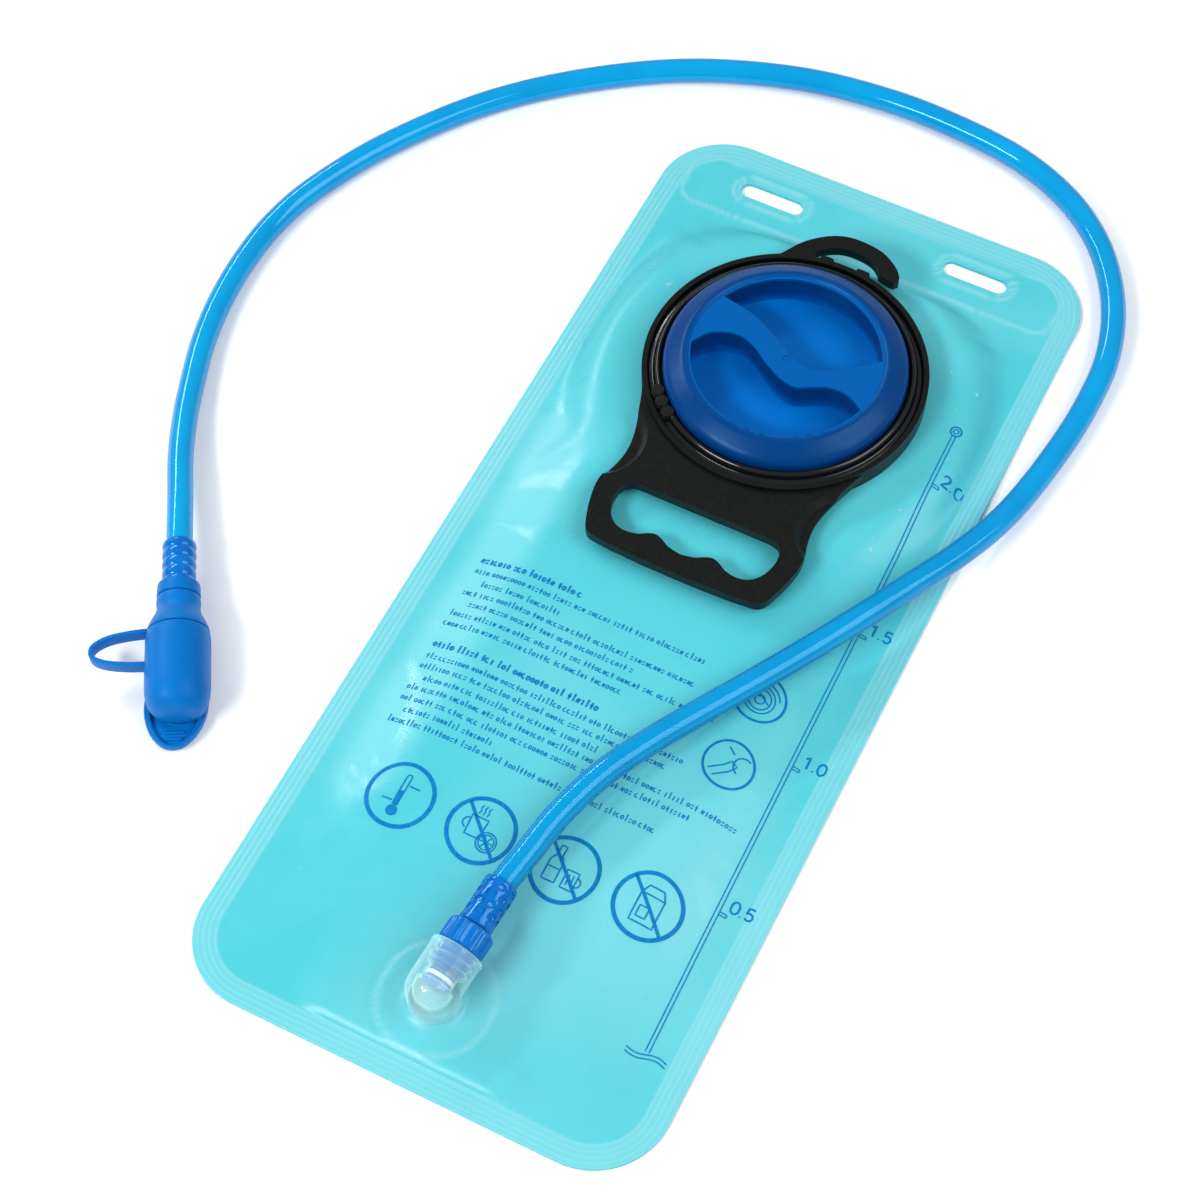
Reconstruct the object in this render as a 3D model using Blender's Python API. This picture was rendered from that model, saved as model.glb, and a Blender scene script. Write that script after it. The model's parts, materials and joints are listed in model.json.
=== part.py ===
"""A two-litre hydration bladder with a screw cap, a handle frame and a drinking hose.

The bag lies on its back: +Y runs up its length to the hanger slots, +X to its right, +Z out of its front.
Sizes are in millimetres; SCALE turns them into metres as each mesh is made.
"""

import math

import bpy
from mathutils import Matrix, Vector

SCALE = 0.001
GAP = 0.3  # between pieces that touch
TURN = 2 * math.pi

# The bag: two sheets welded along their rims, with a welded hanger panel at the top
BAG_WIDTH = 175.0
BAG_LENGTH = 405.0
BAG_CORNER = 27.0
WELD_WIDTH = 8.0
POCKET_TOP = 166.0  # the weld between the water space and the hanger panel
FILM = 0.5
RIM_TOP = 2 * FILM + GAP
PORT_FILM_TOP = 9.4
OUTLET_FILM_TOP = 3.6
SLOT_SPACING = 86.0
SLOT_Y = 183.0
SLOT_SIZE = (26.0, 6.5)

# The fill port, its cap and the handle frame, on one upright axis
PORT = Vector((0.0, 100.3, 0.0))
PORT_HOLE_RADIUS = 47.3
FLANGE_RADIUS = 57.5
CAP_PITCH = 4.0
CAP_THREAD = 0.6  # half the depth of the thread
NECK_THREAD_RADIUS = 41.2
CAP_THREAD_RADIUS = 41.95
CAP_RADIUS = 45.5
CAP_TOP = 26.2
WELL_FLOOR = 13.4
WELL_RADIUS = 35.4
FRAME_BOTTOM = 12.8
FRAME_TOP = 17.0

# The outlet and the hose connector, on one axis that rises away from the film
OUTLET = Vector((0.0, -172.5, 13.9))
OUTLET_TILT = 5.0
OUTLET_YAW = -5.1  # the socket points a little to the right of straight up the bag
OUTLET_RADIUS = 9.4
SOCKET_LENGTH = 15.0
NUT_PITCH = 3.0
NUT_THREAD = 0.5
SOCKET_THREAD_RADIUS = 7.35
NUT_THREAD_RADIUS = 6.75

# The hose and the drinking valve
HOSE_RADIUS = 4.8
HOSE_START = 40.0  # along the outlet's axis, inside the boot
HOSE_END = 11.0  # along the valve's axis, inside its boot
HOSE_POINTS = 44
VALVE = Vector((-165.4, -59.7, 12.4))
VALVE_HEADING = -59.4
HOSE_ROUTE = [
    (3.8, -130.5, 17.6), (6.5, -115.5, 18.8), (9.2, -100, 19.3), (15.2, -80, 19), (24, -61, 18), (35, -41, 16.8),
    (46.5, -21, 15.8), (57.5, -1.5, 15.2), (68, 18, 14.8), (78, 38.5, 13), (87.5, 59.5, 10), (95, 80.5, 7.6),
    (99.5, 102, 5.8), (103, 128.5, 5), (104, 150, 4.9), (103, 167, 4.9), (98.5, 185, 4.9), (90.5, 202, 4.9),
    (78.5, 218, 4.9), (61.5, 231.5, 4.9), (38, 241.5, 4.9), (9.5, 246, 4.9), (-22, 246.5, 4.9),
    (-58.5, 241, 4.9), (-98.5, 226, 4.9), (-134, 203, 4.9), (-164.5, 174.5, 4.9), (-189.5, 139, 4.9),
    (-204.5, 107, 4.9), (-210.5, 84, 4.9), (-211.7, 62, 4.9), (-210, 41.5, 4.9), (-206, 22.5, 5),
    (-200, 5, 5.6), (-193, -12, 7), (-184.5, -28.5, 9), (-174.5, -44.6, 11.2), (-165.4, -59.7, 12.4),
]


# Materials


def material(name, colour, roughness, alpha=1.0):
    made = bpy.data.materials.new(name)
    made.use_nodes = True
    made.diffuse_color = (*colour, alpha)
    shader = made.node_tree.nodes["Principled BSDF"]
    shader.inputs["Base Color"].default_value = (*colour, 1.0)
    shader.inputs["Roughness"].default_value = roughness
    shader.inputs["Alpha"].default_value = alpha
    return made


# Mesh helpers


def add_object(name, points, faces, finish, place=None):
    """A mesh object from points in millimetres, in the frame of place (or of the world)."""
    mesh = bpy.data.meshes.new(name)
    mesh.from_pydata([Vector(point) * SCALE for point in points], [], faces)
    mesh.validate()
    mesh.materials.append(finish)
    mesh.shade_smooth()
    mesh.set_sharp_from_angle(angle=math.radians(35))
    made = bpy.data.objects.new(name, mesh)
    bpy.context.scene.collection.objects.link(made)
    if place is not None:
        made.matrix_world = place
    return made


def upright(centre):
    return Matrix.Translation(centre * SCALE)


def smooth_step(value):
    value = min(max(value, 0.0), 1.0)
    return value * value * (3 - 2 * value)


def smooth_path(points, spans):
    """Points along a Catmull-Rom curve through the given points, with this many steps for each span."""
    points = [Vector(point) for point in points]
    path = []
    for index in range(len(points) - 1):
        start, end = points[index], points[index + 1]
        before = points[index - 1] if index else 2 * start - end
        after = points[index + 2] if index + 2 < len(points) else 2 * end - start
        for step in range(spans):
            t = step / spans
            path.append(
                0.5 * (2 * start + (end - before) * t
                       + (2 * before - 5 * start + 4 * end - after) * t ** 2
                       + (3 * start - before - 3 * end + after) * t ** 3)
            )
    path.append(points[-1])
    return path


def rounded_box(half_width, low, high, radius, side, end, corner):
    """Points around an upright rounded rectangle, with fixed counts, so that nested ones match up."""
    points = []
    centres = [(half_width - radius, high - radius, 0), (radius - half_width, high - radius, 90),
               (radius - half_width, low + radius, 180), (half_width - radius, low + radius, 270)]
    for index, (x, y, start) in enumerate(centres):
        for step in range(corner + 1):
            angle = math.radians(start + 90 * step / corner)
            points.append(Vector((x + radius * math.cos(angle), y + radius * math.sin(angle))))
        after_x, after_y, after_start = centres[(index + 1) % 4]
        angle = math.radians(after_start)
        goal = Vector((after_x + radius * math.cos(angle), after_y + radius * math.sin(angle)))
        count = side if index % 2 else end
        last = points[-1]
        points += [last.lerp(goal, step / count) for step in range(1, count)]
    return points


def plate(name, outline, low, high, finish, place=None):
    """An outline extruded between two heights."""
    count = len(outline)
    points = [(p[0], p[1], low) for p in outline] + [(p[0], p[1], high) for p in outline]
    faces = [(i, (i + 1) % count, count + (i + 1) % count, count + i) for i in range(count)]
    faces += [tuple(range(count - 1, -1, -1)), tuple(range(count, 2 * count))]
    return add_object(name, points, faces, finish, place)


def circle(radius, sides, x=0.0, y=0.0):
    return [(x + radius * math.cos(TURN * i / sides), y + radius * math.sin(TURN * i / sides)) for i in range(sides)]


def slot_outline(length, width, x, y, corner=6):
    """A slot with round ends, along X."""
    reach = (length - width) / 2
    points = []
    for centre, start in ((reach, -90), (-reach, 90)):
        for step in range(corner + 1):
            angle = math.radians(start + 180 * step / corner)
            points.append((x + centre + width / 2 * math.cos(angle), y + width / 2 * math.sin(angle)))
    return points


def turned(name, profile, finish, place=None, sides=32, pitch=1.0, ribs=0):
    """A turned solid. A profile row is (radius, height), then the half depth of a thread and of ribs there.

    The rows run anticlockwise in the half plane of radius to the right and height upwards: up the outer side
    and back down the inner one. A row of radius 0 is a pole.
    """
    points, rings = [], []
    for row in profile:
        radius, height, thread, rib = (*row, 0.0, 0.0)[:4]
        if radius == 0:
            rings.append([len(points)] * sides)
            points.append((0.0, 0.0, height))
            continue
        rings.append(list(range(len(points), len(points) + sides)))
        for index in range(sides):
            angle = TURN * index / sides
            wave = thread * math.cos(TURN * height / pitch - angle) + rib * math.cos(ribs * angle)
            points.append(((radius + wave) * math.cos(angle), (radius + wave) * math.sin(angle), height))
    faces = []
    for lower, upper in zip(rings, rings[1:] + rings[:1]):
        for index in range(sides):
            after = (index + 1) % sides
            corners = [lower[index], lower[after], upper[after], upper[index]]
            face = list(dict.fromkeys(corners))
            if len(face) > 2:
                faces.append(face)
    return add_object(name, points, faces, finish, place)


def thread_rows(radius, start, end, depth, pitch):
    """Profile rows along a thread, from start to end, fading in and out over half a pitch."""
    count = max(2, round(abs(end - start) / pitch * 5))
    rows = []
    for step in range(count + 1):
        height = start + (end - start) * step / count
        fade = min(1.0, abs(height - start) / pitch * 2, abs(end - height) / pitch * 2)
        rows.append((radius, height, depth * fade))
    return rows


def helper(made):
    made.hide_render = True
    made.display_type = "WIRE"
    return made


def combine(made, *steps):
    """Boolean modifiers on an object. Each step is ("DIFFERENCE" or "UNION", helper object)."""
    for operation, other in steps:
        modifier = made.modifiers.new(f"{operation.lower()} {other.name}", "BOOLEAN")
        modifier.operation = operation
        modifier.object = helper(other)
    return made


# The bag


def film_height(x, y, inset):
    """The front sheet's upper side: flat over the port and the outlet, and down to the weld at the rim."""
    to_outlet = smooth_step((-118 - y) / 25)
    crown = PORT_FILM_TOP + (OUTLET_FILM_TOP - PORT_FILM_TOP) * to_outlet
    port_distance = math.hypot(x - PORT.x, y - PORT.y)
    outlet_distance = math.hypot(x - OUTLET.x, y - OUTLET.y)
    pillow = smooth_step(inset / 34)
    near_port = (1 - smooth_step((port_distance - 71) / 12)) * min(1.0, inset / 6)
    near_outlet = (1 - smooth_step((outlet_distance - 36) / 12)) * min(1.0, inset / 3)
    return RIM_TOP + (crown - RIM_TOP) * max(pillow, near_port, near_outlet)


def front_film(finish):
    insets = (0, 3, 6, 12, 20, 30, 45, 67)
    side, end, corner = 12, 6, 3
    rings = [(rounded_box(BAG_WIDTH / 2, -BAG_LENGTH / 2, BAG_LENGTH / 2, BAG_CORNER, side, end, corner), 0)]
    for inset in insets:
        outline = rounded_box(
            BAG_WIDTH / 2 - WELD_WIDTH - inset,
            -BAG_LENGTH / 2 + WELD_WIDTH + inset,
            POCKET_TOP - inset,
            max(22 - inset * 0.3, 4),
            side, end, corner,
        )
        rings.append((outline, inset))
    count = len(rings[0][0])
    top = [(p.x, p.y, film_height(p.x, p.y, inset)) for outline, inset in rings for p in outline]
    points = top + [(x, y, z - FILM) for x, y, z in top]
    lower = len(top)
    faces = []
    for ring in range(len(rings) - 1):
        for i in range(count):
            a, b = ring * count + i, ring * count + (i + 1) % count
            faces.append((a, b, b + count, a + count))
            faces.append((lower + a, lower + a + count, lower + b + count, lower + b))
    faces += [(lower + i, lower + (i + 1) % count, (i + 1) % count, i) for i in range(count)]
    # the innermost ring is closed by strips across it, from its right side to its left
    last = (len(rings) - 1) * count
    left_start = corner * 2 + end
    right = [last + (-step) % count for step in range(side + 1)]
    left = [last + left_start + step for step in range(side + 1)]
    for a, b, c, d in zip(right, right[1:], left[1:], left):
        faces.append((a, d, c, b))
        faces.append((lower + a, lower + b, lower + c, lower + d))
    top_cap = [last + step for step in range(left_start + 1)]
    bottom_cap = [last + left_start + side + step for step in range(left_start + 1)]
    for cap in (top_cap, bottom_cap):
        faces.append(tuple(cap))
        faces.append(tuple(lower + i for i in reversed(cap)))
    film = add_object("front_film", points, faces, finish)
    port_hole = plate("port_hole", circle(PORT_HOLE_RADIUS, 40, PORT.x, PORT.y), 0, 20, finish)
    outlet_hole = plate("outlet_hole", circle(8.6, 16, OUTLET.x, OUTLET.y), 0, 20, finish)
    return combine(film, ("DIFFERENCE", port_hole), ("DIFFERENCE", outlet_hole), *slot_cuts("front", finish))


def back_film(finish):
    outline = rounded_box(BAG_WIDTH / 2, -BAG_LENGTH / 2, BAG_LENGTH / 2, BAG_CORNER, 4, 2, 6)
    film = plate("back_film", outline, 0, FILM, finish)
    return combine(film, *slot_cuts("back", finish))


def slot_cuts(sheet, finish):
    cuts = []
    for side in (-1, 1):
        outline = slot_outline(*SLOT_SIZE, side * SLOT_SPACING / 2, SLOT_Y)
        cuts.append(("DIFFERENCE", plate(f"{sheet}_slot_cut_{side + 2}", outline, -5, 8, finish)))
    return cuts


# The fill port


def port_flange(finish):
    inner = 42.6
    profile = [(FLANGE_RADIUS, 7.0), (FLANGE_RADIUS, 8.6), (46.9, 8.6), (46.9, 10.1), (inner, 10.1), (inner, 7.0)]
    return turned("port_flange", profile, finish, upright(PORT), 40)


def port_neck(finish):
    profile = [(42.3, 6.6), (42.3, 10.1), (40.6, 11.2)]
    profile += thread_rows(NECK_THREAD_RADIUS, 13.6, 20.8, CAP_THREAD, CAP_PITCH)
    profile += [(40.4, 22.0), (37.5, 22.0), (37.5, 6.6)]
    return turned("port_neck", profile, finish, upright(PORT), 36, CAP_PITCH)


def retaining_ring(finish):
    """The glossy collar that traps the handle frame, with three detent lugs on its lip."""
    profile = [(48.6, 10.4), (48.6, 15.8), (50.8, 15.8), (50.8, 17.2), (46.4, 17.2), (46.4, 12.8), (43.2, 12.8),
               (43.2, 10.4)]
    ring = turned("retaining_ring", profile, finish, upright(PORT), 40)
    lugs = []
    for index, angle in enumerate((225, 232.5, 240)):
        heading = math.radians(angle)
        x, y = 48.9 * math.cos(heading), 48.9 * math.sin(heading)
        lug = plate(f"lug_{index}", circle(1.7, 12, x, y), 16.5, 18.6, finish, upright(PORT))
        lugs.append(("UNION", lug))
    return combine(ring, *lugs)


def mirrored(half):
    """An outline made whole from its right half, listed from top to bottom."""
    return [(x, y) for x, y in half] + [(-x, y) for x, y in reversed(half) if x > 0]


def handle_frame(finish):
    """The ring round the port with a finger grip below it and a hook above it."""
    side = [(50.8, -16), (48.2, -22), (44.2, -30), (40.6, -40.3), (38.2, -49), (37.4, -56), (38.2, -63),
            (40, -70), (40.3, -76), (38.8, -84), (36.6, -91)]
    half = [tuple(p) for p in smooth_path([(x, y, 0) for x, y in side], 3)]
    half = [(p[0], p[1]) for p in half]
    half += [(35, -94), (32.5, -95.6), (24, -96.4), (12, -96.9), (0, -97)]
    body = plate("handle_frame", mirrored(half)[::-1], FRAME_BOTTOM, FRAME_TOP, finish, upright(PORT))
    hole = plate("frame_hole", circle(52.0, 48), 0, 30, finish, upright(PORT))
    slot_half = [(26, -68.8), (29.6, -69.8), (31.7, -73.2), (31.9, -78), (30.2, -83.6), (26.6, -87.6), (22, -88.8),
                 (17.5, -88), (14, -86.1), (11.3, -85.3), (8.6, -86.1), (5, -88), (0, -89)]
    slot = plate("finger_slot", mirrored(slot_half)[::-1], 0, 30, finish, upright(PORT))
    scoops = []
    for across in (-1, 1):
        outline = circle(18.0, 48, across * 49.5, -55.5)
        scoops.append(("DIFFERENCE", plate(f"scoop_{across + 2}", outline, 15.2, 30, finish, upright(PORT))))
    band = [(49.1, 10.3), (53.2, 10.3), (53.2, 18.5), (51.2, 18.5), (51.2, 15.4), (49.1, 15.4)]
    ring = turned("frame_band", band, finish, upright(PORT), 48)
    arch = [(-27, 44.7), (-23.7, 49.9), (-20, 56.3), (-15, 61.7), (-8, 66.2), (0, 67.7), (10, 66.4), (17.2, 62.2),
            (20.3, 58.6), (21.0, 56.6), (19.6, 54.9), (17.6, 54.9), (13.2, 56.0), (11.6, 58.2), (9, 60.2), (5, 61.4), (0, 61.8),
            (-5, 61),
            (-10, 58.2), (-13.4, 55), (-12.6, 53.6), (-9, 51.7)]
    hook = plate("frame_hook", arch[::-1], FRAME_BOTTOM, FRAME_TOP, finish, upright(PORT))
    return combine(body, ("DIFFERENCE", hole), ("DIFFERENCE", slot), *scoops, ("UNION", ring), ("UNION", hook))


# The cap

GRIP_UPPER = [(-32.3, 14.5), (-17.6, 11.3), (-7.6, 6.3), (2.4, 0.6), (9.9, -1.5), (17.4, 1.3), (24.9, 6.9), (32.7, 13.5)]
GRIP_LOWER = [(-34.2, -9), (-29, -2), (-20, 1), (-12.6, -1.2), (-5, -6.3), (2.4, -10), (8.7, -11), (15, -7.8),
              (20.5, -5.6), (27.4, -5.9), (34.1, -9.5)]
WALL = 1.6


def grip_line(points, shift=0.0, reach=40.0):
    """One edge of the S-shaped grip, moved sideways by shift, as far as reach from the middle."""
    path = smooth_path([(x, y, 0) for x, y in points], 3)
    return [(p.x, p.y + shift) for p in path if abs(p.x) < reach]


def well_outline(points, upper):
    """The finger well between one edge of the grip and the cap's rim."""
    edge = grip_line(points)
    first = math.atan2(points[-1][1], points[-1][0])
    last = math.atan2(points[0][1], points[0][0])
    if upper:
        last = last % TURN
    else:
        last = last - TURN if last > 0 else last
    arc = [first + (last - first) * step / 14 for step in range(1, 14)]
    outline = edge + [(WELL_RADIUS * math.cos(a), WELL_RADIUS * math.sin(a)) for a in arc]
    return outline if upper else outline[::-1]


def screw_cap(finish, pivot):
    profile = [(0, 11.8), (36.6, 11.8), (36.6, 24.2), (42.3, 24.2)]
    profile += thread_rows(CAP_THREAD_RADIUS, 22.0, 14.2, CAP_THREAD, CAP_PITCH)
    profile += [(42.9, 13.5), (CAP_RADIUS, 13.5), (CAP_RADIUS, 21.2), (44.9, 22.6), (43, 24.2), (40.6, 25.7),
                (38.7, 26.9), (37.7, 27.2), (36.8, 26.9), (36.4, CAP_TOP), (0, CAP_TOP)]
    cap = turned("screw_cap", profile, finish, pivot, 36, CAP_PITCH)
    upper = plate("upper_well", well_outline(GRIP_UPPER, True), WELL_FLOOR, 40, finish, pivot)
    lower = plate("lower_well", well_outline(GRIP_LOWER, False), WELL_FLOOR, 40, finish, pivot)
    under = grip_line(GRIP_LOWER, WALL, 30) + grip_line(GRIP_UPPER, -WALL, 30)[::-1]
    hollow = plate("grip_hollow", under, 5, CAP_TOP - WALL, finish, pivot)
    return combine(cap, ("DIFFERENCE", upper), ("DIFFERENCE", lower), ("DIFFERENCE", hollow))


def cap_gasket(finish):
    profile = [(37.8, 22.3), (40.3, 22.3), (40.6, 23.1), (40.3, 23.9), (37.8, 23.9)]
    return turned("cap_gasket", profile, finish, upright(PORT), 36)


# The outlet and the hose connector


def outlet_frame():
    """The frame whose Z runs along the socket and out of its mouth."""
    yaw = Matrix.Rotation(math.radians(OUTLET_YAW), 4, "Z")
    tilt = Matrix.Rotation(math.radians(OUTLET_TILT - 90), 4, "X")
    return Matrix.Translation(OUTLET * SCALE) @ yaw @ tilt


def outlet_port(finish, frame):
    dome = [(0, -OUTLET_RADIUS)]
    dome += [(OUTLET_RADIUS * math.sin(a), -OUTLET_RADIUS * math.cos(a)) for a in (math.radians(18 * s) for s in (1, 2, 3, 4))]
    body = dome + [(OUTLET_RADIUS, 0), (OUTLET_RADIUS, 13.2), (9.75, 13.6), (9.75, SOCKET_LENGTH), (0, SOCKET_LENGTH)]
    elbow = turned("outlet_port", body, finish, frame, 24)
    riser = plate("outlet_riser", circle(8.0, 24, OUTLET.x, OUTLET.y), 2.0, OUTLET.z, finish)
    flange_outline = rounded_box(19.5, OUTLET.y - 18.5, OUTLET.y + 20.5, 17.5, 2, 2, 6)
    flange = plate("outlet_flange", flange_outline, 1.2, 2.8, finish)
    seat = 5.6
    bore = [(0, -7), (4, -5.7), (6.6, -2.4), (7, 0), (7, 1.2), (seat, 2.2), (seat, 6.2)]
    bore += thread_rows(SOCKET_THREAD_RADIUS, 7.4, 14.4, NUT_THREAD, NUT_PITCH)
    bore += [(7.9, SOCKET_LENGTH), (7.9, 25), (0, 25)]
    cavity = turned("outlet_bore", bore, finish, frame, 24, NUT_PITCH)
    duct = plate("outlet_duct", circle(4.5, 20, OUTLET.x, OUTLET.y), -5, OUTLET.z, finish)
    return combine(elbow, ("UNION", riser), ("UNION", flange), ("DIFFERENCE", cavity), ("DIFFERENCE", duct))


def hose_nut(finish, frame):
    profile = thread_rows(NUT_THREAD_RADIUS, 7.8, 14.2, NUT_THREAD, NUT_PITCH)
    profile += [(6.6, 15.6), (7.6, 15.6), (8.0, 16.2, 0, 0.35), (8.0, 23.8, 0, 0.35), (7.4, 24.4), (4.5, 24.4)]
    profile += [(4.5, 7.8)]
    return turned("hose_nut", profile, finish, frame, 36, NUT_PITCH, 9)


def hose_spigot(finish, frame):
    """The barbed tube that seals in the socket and holds the hose."""
    profile = [(4.6, 0.4), (5.1, 0.9), (5.1, 2.9), (4.0, 2.9), (4.0, 5.3), (5.1, 5.3), (5.1, 6.2), (4.1, 6.6), (4.1, 25.5),
               (3.0, 26), (3.3, 29.5), (2.9, 29.6), (3.3, 33), (2.8, 34.2), (2.2, 34.2), (2.2, 0.4)]
    return turned("hose_spigot", profile, finish, frame, 16)


def spigot_oring(finish, frame):
    profile = [(4.8 + 0.45 * math.cos(TURN * i / 6), 4.1 + 0.8 * math.sin(TURN * i / 6)) for i in range(6)]
    return turned("spigot_oring", profile, finish, frame, 20)


def hose_boot(finish, frame):
    profile = [(6.3, 24.8), (6.3, 26.5), (6.0, 27.5), (6.1, 39.8), (5.9, 42.3), (5.4, 42.3), (5.4, 24.8)]
    return turned("hose_boot", profile, finish, frame, 20)


def hose_tube(finish, outlet, valve):
    """The free hose, from inside the connector's boot to inside the valve's."""
    start = (outlet @ Vector((0, 0, HOSE_START * SCALE))) / SCALE
    end = (valve @ Vector((0, 0, HOSE_END * SCALE))) / SCALE
    path = smooth_path([start, *HOSE_ROUTE, end], 8)
    lengths = [0.0]
    for a, b in zip(path, path[1:]):
        lengths.append(lengths[-1] + (b - a).length)
    curve = bpy.data.curves.new("hose_tube", "CURVE")
    curve.dimensions = "3D"
    curve.bevel_depth = HOSE_RADIUS * SCALE
    curve.bevel_resolution = 3
    curve.use_fill_caps = True
    curve.materials.append(finish)
    spline = curve.splines.new("POLY")
    spline.points.add(HOSE_POINTS - 1)
    at = 0
    for index, point in enumerate(spline.points):
        goal = lengths[-1] * index / (HOSE_POINTS - 1)
        while at < len(path) - 2 and lengths[at + 1] < goal:
            at += 1
        share = (goal - lengths[at]) / (lengths[at + 1] - lengths[at])
        place = path[at].lerp(path[at + 1], share) * SCALE
        point.co = (*place, 1.0)
    tube = bpy.data.objects.new("hose_tube", curve)
    bpy.context.scene.collection.objects.link(tube)
    return tube


# The drinking valve


def valve_frame():
    """The frame whose Z runs along the valve to its mouthpiece, with X down and Y to its right."""
    turn = Matrix.Rotation(math.radians(VALVE_HEADING), 4, "Z") @ Matrix.Rotation(math.radians(90), 4, "Y")
    return Matrix.Translation(VALVE * SCALE) @ turn


def valve_boot(finish, frame):
    profile = [(5.7, 3.4)]
    for ring in range(4):
        base = 4.6 + ring * 4.0
        profile += [(6.1, base), (6.1, base + 2.4), (5.65, base + 3.2)]
    profile += [(5.9, 20.5), (5.3, 20.5), (5.3, 3.4)]
    return turned("valve_boot", profile, finish, frame, 20)


def valve_collar(finish, frame):
    profile = [(7.3, 20.8), (7.8, 21.4), (7.8, 25.6), (7.6, 26.0), (3.4, 26.0), (3.4, 20.8)]
    return turned("valve_collar", profile, finish, frame, 24)


def valve_barb(finish, frame):
    profile = [(2.7, 11.6), (3.0, 13), (3.0, 34), (1.9, 34), (1.9, 11.6)]
    return turned("valve_barb", profile, finish, frame, 16)


def valve_body(finish, frame):
    profile = [(7.7, 26.3), (7.8, 31), (8.3, 33.5), (9.7, 36.3), (10.7, 38.6), (11.1, 40.4), (4.2, 40.4), (4.2, 56),
               (3.4, 56), (3.4, 26.3)]
    return turned("valve_body", profile, finish, frame, 28)


def shutoff_pin(finish, frame):
    profile = [(0, 36), (1.2, 36.2), (1.2, 50), (3.0, 50), (3.0, 52), (1.2, 52), (1.2, 62.6), (0, 63.2)]
    return turned("shutoff_pin", profile, finish, frame, 16)


def valve_oring(finish, frame):
    profile = [(5.0 + 0.45 * math.cos(TURN * i / 6), 48 + 0.45 * math.sin(TURN * i / 6)) for i in range(6)]
    return turned("valve_oring", profile, finish, frame, 20)


def mouthpiece(finish, frame):
    profile = [(8.0, 42.2), (8.2, 50), (7.6, 58), (6.2, 62.6), (3.5, 64), (1.6, 64), (1.6, 62), (4.8, 61.2), (5.8, 58.5),
               (5.8, 42.2)]
    return turned("mouthpiece", profile, finish, frame, 24)


def dust_cover(finish, frame):
    """The cup over the mouthpiece, with a pull tab under its domed end."""
    outside = [(0, 40.8), (11.2, 40.8), (11.6, 44), (11.6, 62), (11.1, 67), (9.4, 71), (6.0, 73.4), (0, 74)]
    cover = turned("dust_cover", outside, finish, frame, 28)
    half = [(60, 11), (68, 11), (73, 9.8), (77.5, 7.4), (80.7, 4.4), (82, 0)]
    whole = half + [(s, -y) for s, y in reversed(half[:-1])]
    # the tab leans a little to the left of the valve's axis
    tongue = [(s, y - 1.2 - 0.06 * (s - 60)) for s, y in whole]
    # the tab lies flat, so its outline is drawn along the valve and across it
    tab_frame = frame @ Matrix.Rotation(math.radians(-90), 4, "Y")
    tab = plate("cover_tab", tongue, -9.6, -7.2, finish, tab_frame)
    inside = [(0, 30), (10.4, 30), (10.4, 64), (9.6, 68), (6.5, 71.2), (0, 72.2)]
    room = turned("cover_room", inside, finish, frame, 28)
    return combine(cover, ("UNION", tab), ("DIFFERENCE", room))


def cover_strap(finish, frame):
    """The flat strap that loops from the valve body to the cover's side."""
    thickness, width = 1.5, 5.5
    line = [(39.9, 11.8), (40.4, 18), (41.8, 24.6), (44.8, 29.6), (48.6, 30.1), (51.2, 26), (52.6, 19), (53.0, 12.1)]
    path = smooth_path([(s, n, 0) for s, n in line], 3)
    outer, inner = [], []
    for index, point in enumerate(path):
        ahead = path[min(index + 1, len(path) - 1)] - path[max(index - 1, 0)]
        normal = Vector((-ahead.y, ahead.x, 0)).normalized() * (thickness / 2)
        outer.append(point + normal)
        inner.append(point - normal)
    outline = [(p.x, -p.y) for p in outer + inner[::-1]]
    band_frame = frame @ Matrix.Rotation(math.radians(-90), 4, "Y")
    return plate("cover_strap", outline, -width / 2, width / 2, finish, band_frame)


def add_empty(name, place):
    empty = bpy.data.objects.new(name, None)
    bpy.context.scene.collection.objects.link(empty)
    empty.matrix_world = place
    return empty


def keep_under(parent, *children):
    """Parents the children to an empty on their joint's axis, leaving them where they are."""
    bpy.context.view_layer.update()
    for child in children:
        child.parent = parent
        child.matrix_parent_inverse = parent.matrix_world.inverted()


def main():
    for old in list(bpy.data.objects):
        bpy.data.objects.remove(old)
    film = material("aqua film", (0.11, 0.68, 0.76), 0.25, 0.6)
    flange = material("teal flange", (0.02, 0.45, 0.55), 0.3, 0.7)
    black = material("black plastic", (0.012, 0.012, 0.013), 0.4)
    cap_blue = material("royal blue plastic", (0.01, 0.14, 0.55), 0.35)
    clear = material("clear plastic", (0.8, 0.92, 0.93), 0.08, 0.4)
    fitting = material("blue fitting", (0.0, 0.13, 0.68), 0.2)
    hose = material("blue hose", (0.0, 0.3, 0.72), 0.12, 0.8)
    silicone = material("blue silicone", (0.0, 0.2, 0.62), 0.45)
    seal = material("clear silicone", (0.75, 0.8, 0.82), 0.4)

    outlet = outlet_frame()
    valve = valve_frame()

    front_film(film)
    back_film(film)
    port_flange(flange)
    port_neck(black)
    retaining_ring(black)
    handle_frame(black)
    outlet_port(clear, outlet)

    cap_axis = add_empty("cap_axis", upright(PORT))
    cap = screw_cap(cap_blue, upright(PORT))
    gasket = cap_gasket(seal)
    keep_under(cap_axis, cap, gasket)

    hose_axis = add_empty("hose_axis", outlet)
    valve_axis = add_empty("valve_axis", valve)
    connector = [hose_nut(fitting, outlet), hose_spigot(fitting, outlet), spigot_oring(seal, outlet),
                 hose_boot(fitting, outlet), hose_tube(hose, outlet, valve)]
    on_hose = [valve_boot(fitting, valve), valve_collar(silicone, valve), valve_barb(fitting, valve),
               valve_body(silicone, valve), shutoff_pin(fitting, valve), valve_oring(seal, valve),
               mouthpiece(silicone, valve), dust_cover(silicone, valve), cover_strap(silicone, valve)]
    keep_under(valve_axis, *on_hose)
    keep_under(hose_axis, valve_axis, *connector)


main()
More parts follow.
